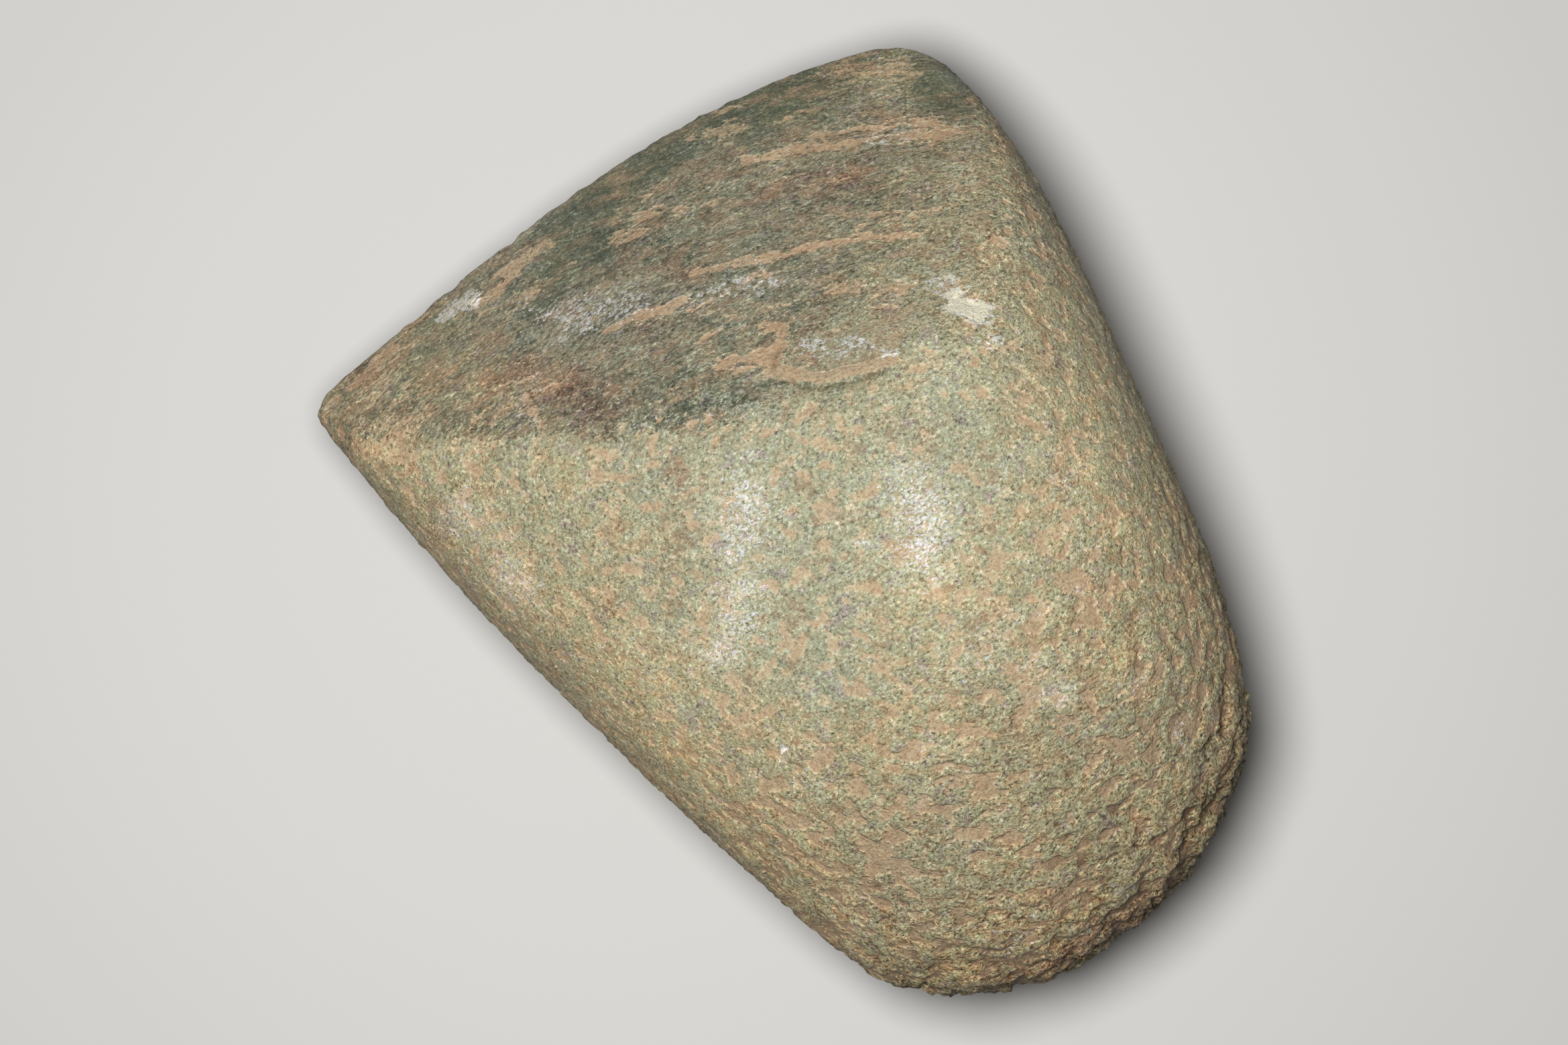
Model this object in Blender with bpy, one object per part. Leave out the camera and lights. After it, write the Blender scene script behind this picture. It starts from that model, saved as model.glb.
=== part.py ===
"""A thick polished stone axe head, lying on one broad face.

Metres, +Z up. +X runs from the butt to the cutting edge, +Y across the width and +Z through the thickness.
The origin is under the middle of the stone, on the surface that it lies on.

The stone is lofted through rings that run round it, from the butt to the cutting edge. A ring near the butt is
nearly an ellipse. Towards the front it turns into a wedge, where the two ground bevels cut the body away.
"""

import math

import bmesh
import bpy
import numpy as np

MM = 0.001

# Plan, in millimetres, with the middle of the length at x = 0.
LENGTH = 105.0
BUTT = -LENGTH / 2
EDGE = LENGTH / 2
# Each flank: half width at x = 0, taper, belly, height of its slow swells, and the radius of its corner with the edge.
FLANKS = {
    1: {"half_width": 34.8, "taper": 0.177, "belly": 0.0012, "swell": 0.10, "corner": 2.4},
    -1: {"half_width": 38.1, "taper": 0.187, "belly": 0.0026, "swell": 0.55, "corner": 6.0},
}
SWELL_LENGTH = 56.0
SWELL_CREST = 26.0
BUTT_ROUNDING = 16.0  # how far from the butt's end the flanks start
BUTT_FULLNESS = 2.15  # 2 is an ellipse, and more is squarer
EDGE_CROWN = 3.8  # the edge's foremost point is this far to +Y
# To each side of it, how far the edge falls back over the next 40 mm, and how roundly.
EDGE_SAGS = {1: {"sag": 2.7, "roundness": 1.6}, -1: {"sag": 6.7, "roundness": 2.4}}
EDGE_SPAN = 40.0

# Thickness, measured from the plane of the cutting edge.
LIP = 0.45  # half the thickness of the blunted edge
FACES = {
    1: {  # upper face
        "crest": 30.5,
        "crest_reach": 49.0,  # from the butt's end to the thickest place
        "front_fall": 0.36,  # share of the crest lost at the edge, before the bevel is cut
        "lean": 0.22,  # how much lower the +Y side is at the front
        "bevel_slope": 0.99,  # at the edge
        "bevel_skew": 0.0040,  # how much steeper it is, as a share, for each millimetre to +Y
        "bevel_crown": 0.0036,  # what each millimetre takes off the slope, halved
    },
    -1: {  # underside
        "crest": 28.0,
        "crest_reach": 46.0,
        "front_fall": 0.30,
        "lean": 0.04,
        "bevel_slope": 0.84,
        "bevel_skew": 0.0010,
        "bevel_crown": 0.0030,
    },
}
SKEW_SPAN = 50.0  # the skew levels off half this far to -Y
CREASE_SOFTNESS = 3.2  # width of the turn from body to bevel
BUTT_SECTION = 2.1  # squareness of the cross-section at the butt
FRONT_SECTION = 2.5  # and at the front
SECTION_SETTLES = 0.6  # share of the length over which it changes
LEAN_SETTLES = 0.5
CREST_ROUNDNESS = 2.0  # of the long profile, from the butt's end to the crest
RESTING_CUT = 0.8  # taken off the underside's crest, so that the stone lies still

# Flake scars: a ball pressed into the stone, by its place, its way out of the stone, its width and its depth.
SCARS = (
    {"at": (-52.0, 1.0, 3.0), "out": (-1.0, 0.05, 0.30), "width": 18.0, "depth": 0.9},  # butt end
    {"at": (19.9, -11.2, 24.0), "out": (0.50, -0.10, 0.86), "width": 13.5, "depth": 0.8},  # crease
    {"at": (16.6, -26.5, 21.0), "out": (0.35, -0.45, 0.82), "width": 6.5, "depth": 0.35},  # bruise
    {"at": (50.0, 38.0, 0.0), "out": (0.80, 0.60, 0.0), "width": 6.0, "depth": 0.40},  # edge corner
    {"at": (-40.0, -24.0, -9.0), "out": (-0.60, -0.75, -0.30), "width": 14.0, "depth": 0.9},  # butt side
    {"at": (-33.0, 12.0, -22.0), "out": (-0.50, 0.30, -0.80), "width": 16.0, "depth": 1.0},  # underside
)
SEATING_STEPS = 40

# Mesh
AROUND = 92  # points round each ring
BUTT_RINGS = 15
BODY_RINGS = 30
EDGE_RINGS = 7
EDGE_STRETCH = 8.0  # length of the finer rings behind the edge
FLANK_STEPS = 4


def clear_scene():
    """Empties the scene."""
    for item in list(bpy.data.objects):
        bpy.data.objects.remove(item, do_unlink=True)


def soft_lower(a, b, softness):
    """The lower of two heights, with the crease between them rounded over."""
    near = np.maximum(softness - np.abs(a - b), 0.0) / softness
    return np.minimum(a, b) - near**2 * softness / 4


def edge_line(y):
    """How far forward the cutting edge stands at y."""
    away = (np.asarray(y) - EDGE_CROWN) / EDGE_SPAN
    left, right = EDGE_SAGS[1], EDGE_SAGS[-1]
    falls = left["sag"] * away.clip(0) ** left["roundness"] + right["sag"] * (-away).clip(0) ** right["roundness"]
    return EDGE - falls


def rounded_end(behind, reach, fullness):
    """From 0 at the butt's end to 1 at reach in front of it."""
    u = min(max(1 - behind / reach, 0.0), 1.0)
    return (1 - u**fullness) ** (1 / fullness)


def flank_reach(share, side):
    """Half width on one side of a ring, at a share of the way from the butt to the edge."""
    flank = FLANKS[side]
    reach = flank["half_width"]
    for _ in range(FLANK_STEPS):  # the ring leans with the curved edge, so its place depends on its reach
        whole = edge_line(side * reach) - BUTT
        x = BUTT + share * whole
        reach = flank["half_width"] + flank["taper"] * x - flank["belly"] * x**2
        reach += flank["swell"] * math.cos(2 * math.pi * (x - SWELL_CREST) / SWELL_LENGTH)
    reach *= rounded_end(share * whole, BUTT_ROUNDING, BUTT_FULLNESS)
    corner, to_edge = flank["corner"], (1 - share) * whole
    if to_edge < corner:
        reach -= corner - math.sqrt(corner**2 - (corner - to_edge) ** 2)
    return reach


def squareness(share):
    """How square the cross-section is: 2 is an ellipse."""
    return BUTT_SECTION + (FRONT_SECTION - BUTT_SECTION) * min(share / SECTION_SETTLES, 1.0)


def body_rise(share, x, across, face):
    """Height of the pecked body over the plane of the edge, with across from -1 to 1 over the width."""
    shape = FACES[face]
    crest = shape["crest"] * rounded_end(share * LENGTH, shape["crest_reach"], CREST_ROUNDNESS)
    forward = np.clip((x - BUTT - shape["crest_reach"]) / (LENGTH - shape["crest_reach"]), 0, 1)
    power = squareness(share)
    section = (1 - np.abs(across) ** power).clip(0) ** (1 / power)
    lean = 1 - shape["lean"] * across * min(share / LEAN_SETTLES, 1.0)
    return crest * (1 - shape["front_fall"] * forward**2) * section * lean


def bevel_rise(x, y, face):
    """Height of the ground bevel over the plane of the edge."""
    shape = FACES[face]
    behind = edge_line(y) - x
    steeper = 1 + shape["bevel_skew"] * y * (1 + y / SKEW_SPAN)
    return LIP + steeper * (shape["bevel_slope"] * behind - shape["bevel_crown"] * behind**2)


def ring(share):
    """The points round the stone at a share of the way from the butt to the edge."""
    turn = np.arange(AROUND) * 2 * math.pi / AROUND
    across = np.sign(np.cos(turn)) * np.abs(np.cos(turn)) ** (2 / squareness(share))
    left, right = flank_reach(share, 1), -flank_reach(share, -1)
    y = (left + right) / 2 + across * (left - right) / 2
    x = BUTT + share * (edge_line(y) - BUTT)
    heights = {
        face: soft_lower(body_rise(share, x, across, face), bevel_rise(x, y, face), CREASE_SOFTNESS)
        for face in FACES
    }
    z = np.where(np.sin(turn) >= 0, heights[1].clip(0), -heights[-1].clip(0))
    return np.stack([x, y, z], axis=1)


def ring_shares():
    """Where the rings lie, closer together round the butt and behind the edge."""
    turns = np.arange(1, BUTT_RINGS + 1) / BUTT_RINGS * math.pi / 2
    butt = BUTT_ROUNDING / LENGTH * (1 - np.cos(turns))
    fine = 1 - EDGE_STRETCH / LENGTH
    body = np.linspace(butt[-1], fine, BODY_RINGS + 2)[1:-1]
    nearing = np.linspace(0, 1, EDGE_RINGS)
    edge = 1 - EDGE_STRETCH / LENGTH * (1 - nearing) ** 1.5
    return np.concatenate([butt, body, edge])


def seated_ball(points, scar):
    """Centre and radius of a ball that bites into the stone by the scar's depth, and about its width."""
    out = np.array(scar["out"]) / np.linalg.norm(scar["out"])
    radius = (scar["width"] ** 2 / 4 + scar["depth"] ** 2) / (2 * scar["depth"])
    near, far = 0.0, 2 * radius
    for _ in range(SEATING_STEPS):
        middle = (near + far) / 2
        gap = np.linalg.norm(points - np.array(scar["at"]) - out * middle, axis=1).min()
        near, far = (middle, far) if gap < radius - scar["depth"] else (near, middle)
    return np.array(scar["at"]) + out * far, radius


def press_scars(points):
    """Presses each scar's ball into the stone, where it leaves a shallow dish."""
    for scar in SCARS:
        centre, radius = seated_ball(points, scar)
        away = points - centre
        distance = np.linalg.norm(away, axis=1, keepdims=True)
        points = np.where(distance < radius, centre + away * radius / distance, points)
    return points


def loft(points, rings):
    """A closed mesh: a fan round the butt's tip, which is the first point, bands between the rings and the edge."""
    shape = bmesh.new()
    butt, *verts = [shape.verts.new(point) for point in points]
    for j in range(AROUND):
        after = (j + 1) % AROUND
        shape.faces.new((butt, verts[after], verts[j]))
        for low in range(0, (rings - 1) * AROUND, AROUND):
            high = low + AROUND
            shape.faces.new((verts[low + j], verts[low + after], verts[high + after], verts[high + j]))
    last = verts[-AROUND:]
    for j in range(AROUND // 2):
        corners = (last[j], last[j + 1], last[-j - 1], last[-j])
        shape.faces.new(tuple(dict.fromkeys(corners)))  # a triangle at each end of the edge
    bmesh.ops.recalc_face_normals(shape, faces=shape.faces)
    return shape


def stone_material():
    """Pale green-grey stone, pecked and ground, with sediment in its low places."""
    material = bpy.data.materials.new("stone")
    material.use_nodes = True
    shader = material.node_tree.nodes["Principled BSDF"]
    shader.inputs["Base Color"].default_value = (0.36, 0.31, 0.21, 1)
    shader.inputs["Roughness"].default_value = 0.62
    shader.inputs["Metallic"].default_value = 0.0
    return material


def stone_points(shares):
    """The butt's tip and every ring's points in metres, with the origin under the middle of the stone."""
    points = np.concatenate([[(BUTT, 0.0, 0.0)], *[ring(share) for share in shares]])
    points = press_scars(points)
    floor = points[:, 2].min() + RESTING_CUT
    points[:, 2] = points[:, 2].clip(floor)
    middle = (points.min(axis=0) + points.max(axis=0)) / 2
    return (points - (middle[0], middle[1], floor)) * MM


def axe_head(collection):
    """The whole stone."""
    shares = ring_shares()
    shape = loft(stone_points(shares), len(shares))
    mesh = bpy.data.meshes.new("axe_head")
    shape.to_mesh(mesh)
    shape.free()
    mesh.shade_smooth()
    mesh.set_sharp_from_angle(angle=math.radians(50))
    mesh.materials.append(stone_material())
    stone = bpy.data.objects.new("axe_head", mesh)
    collection.objects.link(stone)
    return stone


def main():
    """Builds the axe head."""
    clear_scene()
    collection = bpy.data.collections.new("polished_stone_axe")
    bpy.context.scene.collection.children.link(collection)
    axe_head(collection)


main()
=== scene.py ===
"""Dresses the thick polished stone axe head: a pecked body, ground bevels and old soil in its hollows."""
import itertools
import logging
from dataclasses import dataclass, field
from enum import Enum

import bpy
import numpy as np
from mathutils import Matrix, Vector


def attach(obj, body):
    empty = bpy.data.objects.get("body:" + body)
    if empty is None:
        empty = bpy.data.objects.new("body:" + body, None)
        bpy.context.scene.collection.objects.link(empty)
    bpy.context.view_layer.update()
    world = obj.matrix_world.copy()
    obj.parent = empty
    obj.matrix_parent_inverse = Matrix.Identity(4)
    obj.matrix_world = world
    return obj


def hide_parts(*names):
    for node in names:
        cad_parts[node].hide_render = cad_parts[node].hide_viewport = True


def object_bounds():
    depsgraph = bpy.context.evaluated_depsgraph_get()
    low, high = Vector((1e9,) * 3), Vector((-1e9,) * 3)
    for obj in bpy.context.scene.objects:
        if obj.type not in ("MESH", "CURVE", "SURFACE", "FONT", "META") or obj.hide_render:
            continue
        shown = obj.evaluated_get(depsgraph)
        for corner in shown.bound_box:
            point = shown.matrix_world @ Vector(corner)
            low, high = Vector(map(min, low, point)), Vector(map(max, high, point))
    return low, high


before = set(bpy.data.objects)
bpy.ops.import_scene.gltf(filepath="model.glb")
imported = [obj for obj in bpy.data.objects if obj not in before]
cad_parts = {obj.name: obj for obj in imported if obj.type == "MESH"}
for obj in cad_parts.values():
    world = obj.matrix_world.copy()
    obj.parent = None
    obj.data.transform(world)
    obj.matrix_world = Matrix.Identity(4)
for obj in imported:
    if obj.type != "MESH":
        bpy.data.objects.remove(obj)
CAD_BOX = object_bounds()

Array = np.ndarray
Pair = tuple[float, float]
Path = tuple[Pair, ...]
Triple = tuple[float, float, float]
Colour = tuple[float, float, float]
Socket = bpy.types.NodeSocket
Number = Socket | float
Paint = Socket | Colour

MM = 0.001
TINY = 1e-12  # keeps a length that is divided by from being nothing

log = logging.getLogger("axe_head")


def turn(low: float, high: float, value: Array) -> Array:
    """A smooth turn from 0 to 1.

    Args:
        low: Where the turn starts. It may lie above high, and the turn is then from 1 to 0.
        high: Where it ends.
        value: The values to turn.

    Returns:
        Values from 0 to 1.
    """
    share = np.clip((value - low) / (high - low), 0.0, 1.0)
    return share * share * (3.0 - 2.0 * share)


def bowl(near: Array, reach: float) -> Array:
    """A round hollow's depth, from 1 at its middle to 0 at its rim."""
    return np.clip(1 - (near / reach) ** 2, 0, 1)


def line_distance(at: Array, path: Path) -> tuple[Array, Array, Array]:
    """How points lie about a line, seen from above.

    Args:
        at: Points in millimetres.
        path: The line's own points, two or more.

    Returns:
        The distance, how far along the line the nearest place is from 0 to 1, and which side
        of the line the point is on, 1 for the left and -1 for the right.
    """
    plan = at[:, :2]
    best = np.full(len(at), np.inf)
    along, side = np.zeros(len(at)), np.ones(len(at))
    runs = len(path) - 1
    for i, (start, end) in enumerate(itertools.pairwise(np.array(path))):
        run, out = end - start, plan - start
        share = np.clip((out @ run) / (run**2).sum(), 0.0, 1.0)
        away = np.linalg.norm(out - share[:, None] * run, axis=1)
        closer = away < best
        turned = run[0] * out[:, 1] - run[1] * out[:, 0]
        best = np.where(closer, away, best)
        along = np.where(closer, (i + share) / runs, along)
        side = np.where(closer, np.where(turned >= 0, 1.0, -1.0), side)
    return best, along, side


class Grit:
    """Repeatable irregularity over points in millimetres.

    A number added to the points reads another part of it, so that two reliefs don't repeat each other.
    """

    ROWS: int = 256  # length of the tables, a power of two
    HEIGHT: float = 1.7  # brings rolling noise to about -1 to 1
    SHIFT: float = 17.3  # sets each finer layer apart from the last
    FINER: float = 0.47  # width of each layer's swells as a share of the last one's

    def __init__(self, seed: int) -> None:
        """Draws the tables that the fields are read from.

        Args:
            seed: Makes one field differ from another.
        """
        draw = np.random.RandomState(seed)
        self.order = draw.permutation(self.ROWS)
        slopes = draw.normal(size=(self.ROWS, 3))
        self.slopes = slopes / np.linalg.norm(slopes, axis=1, keepdims=True)
        self.spots = draw.uniform(size=(self.ROWS, 3))

    def pick(self, cell: Array) -> Array:
        """Finds the row of the tables that belongs to each cell.

        Args:
            cell: The cells' whole-number places.

        Returns:
            One row number for each cell.
        """
        row = 0
        for axis in range(3):
            row = self.order[(row + cell[:, axis]) & (self.ROWS - 1)]
        return row

    def waves(self, at: Array, size: float) -> Array:
        """Rolling noise.

        Args:
            at: Points in millimetres.
            size: Width of one swell in millimetres.

        Returns:
            Values of about -1 to 1.
        """
        scaled = at / size
        cell = np.floor(scaled).astype(int)
        inside = scaled - cell
        ease = inside**3 * (inside * (inside * 6 - 15) + 10)
        total = np.zeros(len(at))
        for corner in itertools.product((0, 1), repeat=3):
            step = np.array(corner)
            slope = self.slopes[self.pick(cell + step)]
            weight = np.where(step, ease, 1 - ease).prod(axis=1)
            total += weight * ((inside - step) * slope).sum(axis=1)
        return total * self.HEIGHT

    def rough(self, at: Array, size: float, layers: int = 3, keep: float = 0.55) -> Array:
        """Rolling noise with finer and finer noise on it.

        Args:
            at: Points in millimetres.
            size: Width of the widest swells.
            layers: How many sizes are added up, each about half the last.
            keep: Height of each layer as a share of the last one's.

        Returns:
            Values with a spread of about 0.4.
        """
        total = np.zeros(len(at))
        height = 1.0
        for layer in range(layers):
            total += height * self.waves(at + self.SHIFT * layer, size)
            size, height = size * self.FINER, height * keep
        return total

    def cells(self, at: Array, size: float) -> tuple[Array, Array]:
        """Scattered spots, one in each cell of a grid.

        Args:
            at: Points in millimetres.
            size: Width of a cell.

        Returns:
            The distance to the nearest spot in cells, and that spot's own value from 0 to 1.
        """
        scaled = at / size
        cell = np.floor(scaled).astype(int)
        nearest = np.full(len(at), np.inf)
        value = np.zeros(len(at))
        for corner in itertools.product((-1, 0, 1), repeat=3):
            other = cell + np.array(corner)
            row = self.pick(other)
            away = np.linalg.norm(other + self.spots[row] - scaled, axis=1)
            closer = away < nearest
            nearest = np.where(closer, away, nearest)
            value = np.where(closer, self.spots[(row + 1) & (self.ROWS - 1), 0], value)
        return nearest, value


@dataclass
class Surface:
    """A mesh as plain arrays, in millimetres."""

    points: Array
    triangles: Array
    edges: Array

    @classmethod
    def of(cls, mesh: bpy.types.Mesh) -> "Surface":
        """Reads a mesh.

        Args:
            mesh: A mesh in metres.

        Returns:
            Its points, triangles and edges.
        """
        points = np.empty(len(mesh.vertices) * 3)
        mesh.vertices.foreach_get("co", points)
        edges = np.empty(len(mesh.edges) * 2, np.int32)
        mesh.edges.foreach_get("vertices", edges)
        mesh.calc_loop_triangles()
        triangles = np.empty(len(mesh.loop_triangles) * 3, np.int32)
        mesh.loop_triangles.foreach_get("vertices", triangles)
        return cls(points.reshape(-1, 3) / MM, triangles.reshape(-1, 3), edges.reshape(-1, 2))

    def smoothed(self, values: Array, rounds: int, share: Array | float = 0.5) -> Array:
        """Evens values out between neighbouring points.

        Args:
            values: One row for each point.
            rounds: How many times each point moves towards its neighbours.
            share: How far it moves each time, for all points or for each.

        Returns:
            The evened values.
        """
        a, b = self.edges.T
        count = len(self.points)
        touching = np.maximum(np.bincount(a, minlength=count) + np.bincount(b, minlength=count), 1)
        columns = values.reshape(count, -1).T.copy()
        for _ in range(rounds):
            for column in columns:
                mean = np.bincount(a, column[b], count) + np.bincount(b, column[a], count)
                column += share * (mean / touching - column)
        return columns.T.reshape(values.shape)

    def normals(self, rounds: int) -> Array:
        """The directions that the points face, evened out over their neighbours.

        Args:
            rounds: How often they are evened out.

        Returns:
            Directions of length 1.
        """
        corners = self.points[self.triangles]
        facing = np.cross(corners[:, 1] - corners[:, 0], corners[:, 2] - corners[:, 0])
        total = np.zeros_like(self.points)
        for corner, axis in itertools.product(range(3), repeat=2):
            shares = np.bincount(self.triangles[:, corner], facing[:, axis], len(self.points))
            total[:, axis] += shares
        total = self.smoothed(total, rounds)
        return total / np.maximum(np.linalg.norm(total, axis=1, keepdims=True), TINY)


@dataclass(frozen=True)
class Fade:
    """A share that comes in smoothly along a value."""

    share: float
    start: float
    end: float

    def over(self, value: Array) -> Array:
        """How much of it there is, from 0 at its start to all of it at its end."""
        return self.share * turn(self.start, self.end, value)


@dataclass
class PeckedBody:
    """The body, dressed with a hammerstone and left granular, coarser towards the butt."""

    hollow: float = 1.6  # width of the shallow hollows between grains
    hollow_depth: float = 0.165
    hollow_finer: float = 0.6  # how strong each finer layer in them is
    pit: float = 1.35  # spacing of the sharp pits
    pit_depth: float = 0.22
    pit_reach: float = 0.55  # a pit's radius, in spacings
    pit_spread: float = 1.6  # how much their depths differ
    pit_missing: float = 0.3  # and how many are left out
    pit_bend: float = 0.25  # how far their rims are bent out of round
    pit_bend_size: float = 1.3
    grain: float = 1.15  # width of a grain that stands up
    grain_depth: float = 0.12
    dent: float = 2.5  # spacing of the hammerstone's dents
    dent_depth: float = 0.26
    dent_rim: Pair = (0.68, 0.15)  # where a dent starts and where it is deepest, in spacings
    dent_choice: Pair = (0.25, 0.75)  # the draws from which a dent shows and shows in full
    dent_bend: float = 0.55  # how far their rims are bent out of round
    dent_bend_size: float = 1.9
    lump: float = 5.6  # width of the butt's broad lumps
    lump_depth: float = 0.70
    lump_everywhere: float = 0.04  # share of them that shows on the whole body
    lump_back: Fade = Fade(0.50, -10.0, -36.0)  # what the back of the body adds
    lump_butt: float = 0.46  # and what the butt adds
    ledge: float = 1.9  # height of one scaly ledge at the butt's end
    ledge_depth: float = 0.34
    ledge_wander: float = 1.6  # how far the ledges leave their level
    ledge_wander_size: float = 6.0
    ledge_keen: float = 1.6  # above 1, a ledge is sharper at its rim than at its foot
    ledge_sunk: float = 0.4  # share of its height that is cut in
    ledge_patch: float = 7.0  # width of the patches that have ledges
    ledge_patches: Pair = (-0.35, 0.2)  # the noise from which they start and from which they are full
    ledge_steep: Pair = (0.9, 0.6)  # how level a face is where they start and where they are full
    ledge_butt: Pair = (0.35, 1.0)  # how far into the butt they start and are full
    stretch: float = 1.2  # how much longer hollows and pits are across the stone
    rough_mid: float = -4.0  # where the relief starts to grow coarser
    rough_from: float = -31.0  # where the battered butt starts
    rough_by: float = -47.0  # where it is at its roughest
    rough_butt: float = 0.8  # how much coarser the relief is there
    rough_flank: float = 0.3  # and on the flanks
    flank: Pair = (0.8, 0.35)  # how level a face is where a flank starts, and where it is all flank
    dents_from: float = 5.0  # where the dents start
    wander: float = 4.0  # how far these limits wander
    wander_size: float = 9.0
    butt_wander: float = 3.0
    butt_wander_size: float = 12.0
    soil_level: float = -0.082  # how high soil stands in the hollows
    soil_uneven: float = 0.045
    soil_patch: float = 9.0
    butt_soil: float = 0.03  # how much lower it stands at the butt
    grit: Grit = field(default_factory=lambda: Grit(11))

    def butt(self, at: Array) -> Array:
        """How far each point belongs to the battered butt, from 0 to 1."""
        ragged = self.butt_wander * self.grit.waves(at, self.butt_wander_size)
        return turn(self.rough_from, self.rough_by, at[:, 0] + ragged)

    def back(self, at: Array, start: float) -> Array:
        """How far back each point lies, from 0 at the start to 1 at the butt, along a ragged limit."""
        ragged = self.wander * self.grit.waves(at, self.wander_size)
        return turn(start, self.rough_from, at[:, 0] + ragged)

    def coarse(self, at: Array, normal: Array) -> Array:
        """How much coarser the relief is at each point than on the broad faces' front.

        Args:
            at: Points in millimetres.
            normal: The evened directions that they face.

        Returns:
            Values from 1 up.
        """
        flank = self.rough_flank * turn(*self.flank, np.abs(normal[:, 2]))
        return 1.0 + self.back(at, self.rough_mid) + self.rough_butt * self.butt(at) + flank

    def lumps(self, at: Array) -> Array:
        """The broad unevenness of the battered butt, in millimetres, faint elsewhere."""
        share = self.lump_everywhere + self.lump_back.over(at[:, 0]) + self.lump_butt * self.butt(at)
        return self.lump_depth * share * self.grit.rough(at + 70, self.lump, 2)

    def pits(self, at: Array) -> Array:
        """Sharp pits, some deeper than others.

        Args:
            at: Points in millimetres, drawn together across the stone.

        Returns:
            Heights in millimetres, none above 0.
        """
        near, value = self.grit.cells(at, self.pit)
        depth = np.clip(self.pit_spread * value - self.pit_missing, 0, 1)
        return -self.pit_depth * bowl(near, self.pit_reach) * depth

    def dents(self, at: Array) -> Array:
        """Broad dents from the hammerstone, which show from the middle of the body to the butt.

        Args:
            at: Points in millimetres.

        Returns:
            Heights in millimetres, none above 0.
        """
        bent = at + self.dent_bend * self.grit.waves(at + 30, self.dent_bend_size)[:, None]
        near, value = self.grit.cells(bent, self.dent)
        depth = turn(*self.dent_rim, near) * turn(*self.dent_choice, value)
        return -self.dent_depth * depth * self.back(at, self.dents_from)

    def ledges(self, at: Array, normal: Array) -> Array:
        """Scaly ledges that run round the butt's end, level with the broad faces.

        Args:
            at: Points in millimetres.
            normal: The evened directions that they face.

        Returns:
            Heights in millimetres.
        """
        wander = self.ledge_wander * self.grit.rough(at, self.ledge_wander_size, 2)
        level = (at[:, 2] + wander) / self.ledge
        step = (level - np.floor(level)) ** self.ledge_keen - self.ledge_sunk
        scaly = turn(*self.ledge_patches, self.grit.rough(at + 40, self.ledge_patch, 2))
        steep = turn(*self.ledge_steep, np.abs(normal[:, 2]))
        return self.ledge_depth * step * turn(*self.ledge_butt, self.butt(at)) * steep * scaly

    def height(self, at: Array, normal: Array) -> Array:
        """The pecked relief before any soil settled in it.

        Args:
            at: Points in millimetres.
            normal: The evened directions that they face.

        Returns:
            Heights in millimetres.
        """
        long = at / (1.0, self.stretch, 1.0)
        pits = self.pits(long + self.pit_bend * self.grit.waves(at, self.pit_bend_size)[:, None])
        rolling = self.hollow_depth * self.grit.rough(long, self.hollow, 3, self.hollow_finer)
        grains = self.grain_depth * self.grit.waves(at, self.grain)
        fine = self.coarse(at, normal) * (rolling + pits + self.dents(at) + grains)
        return fine + self.ledges(at, normal) + self.lumps(at)

    def soil_height(self, at: Array, normal: Array) -> Array:
        """How high old soil fills the hollows.

        Args:
            at: Points in millimetres.
            normal: The evened directions that they face.

        Returns:
            Heights in millimetres, on the relief's own scale.
        """
        level = self.soil_level + self.soil_uneven * self.grit.rough(at + 90, self.soil_patch, 3)
        return self.coarse(at, normal) * level - self.butt_soil * self.butt(at) + self.lumps(at)


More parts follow.
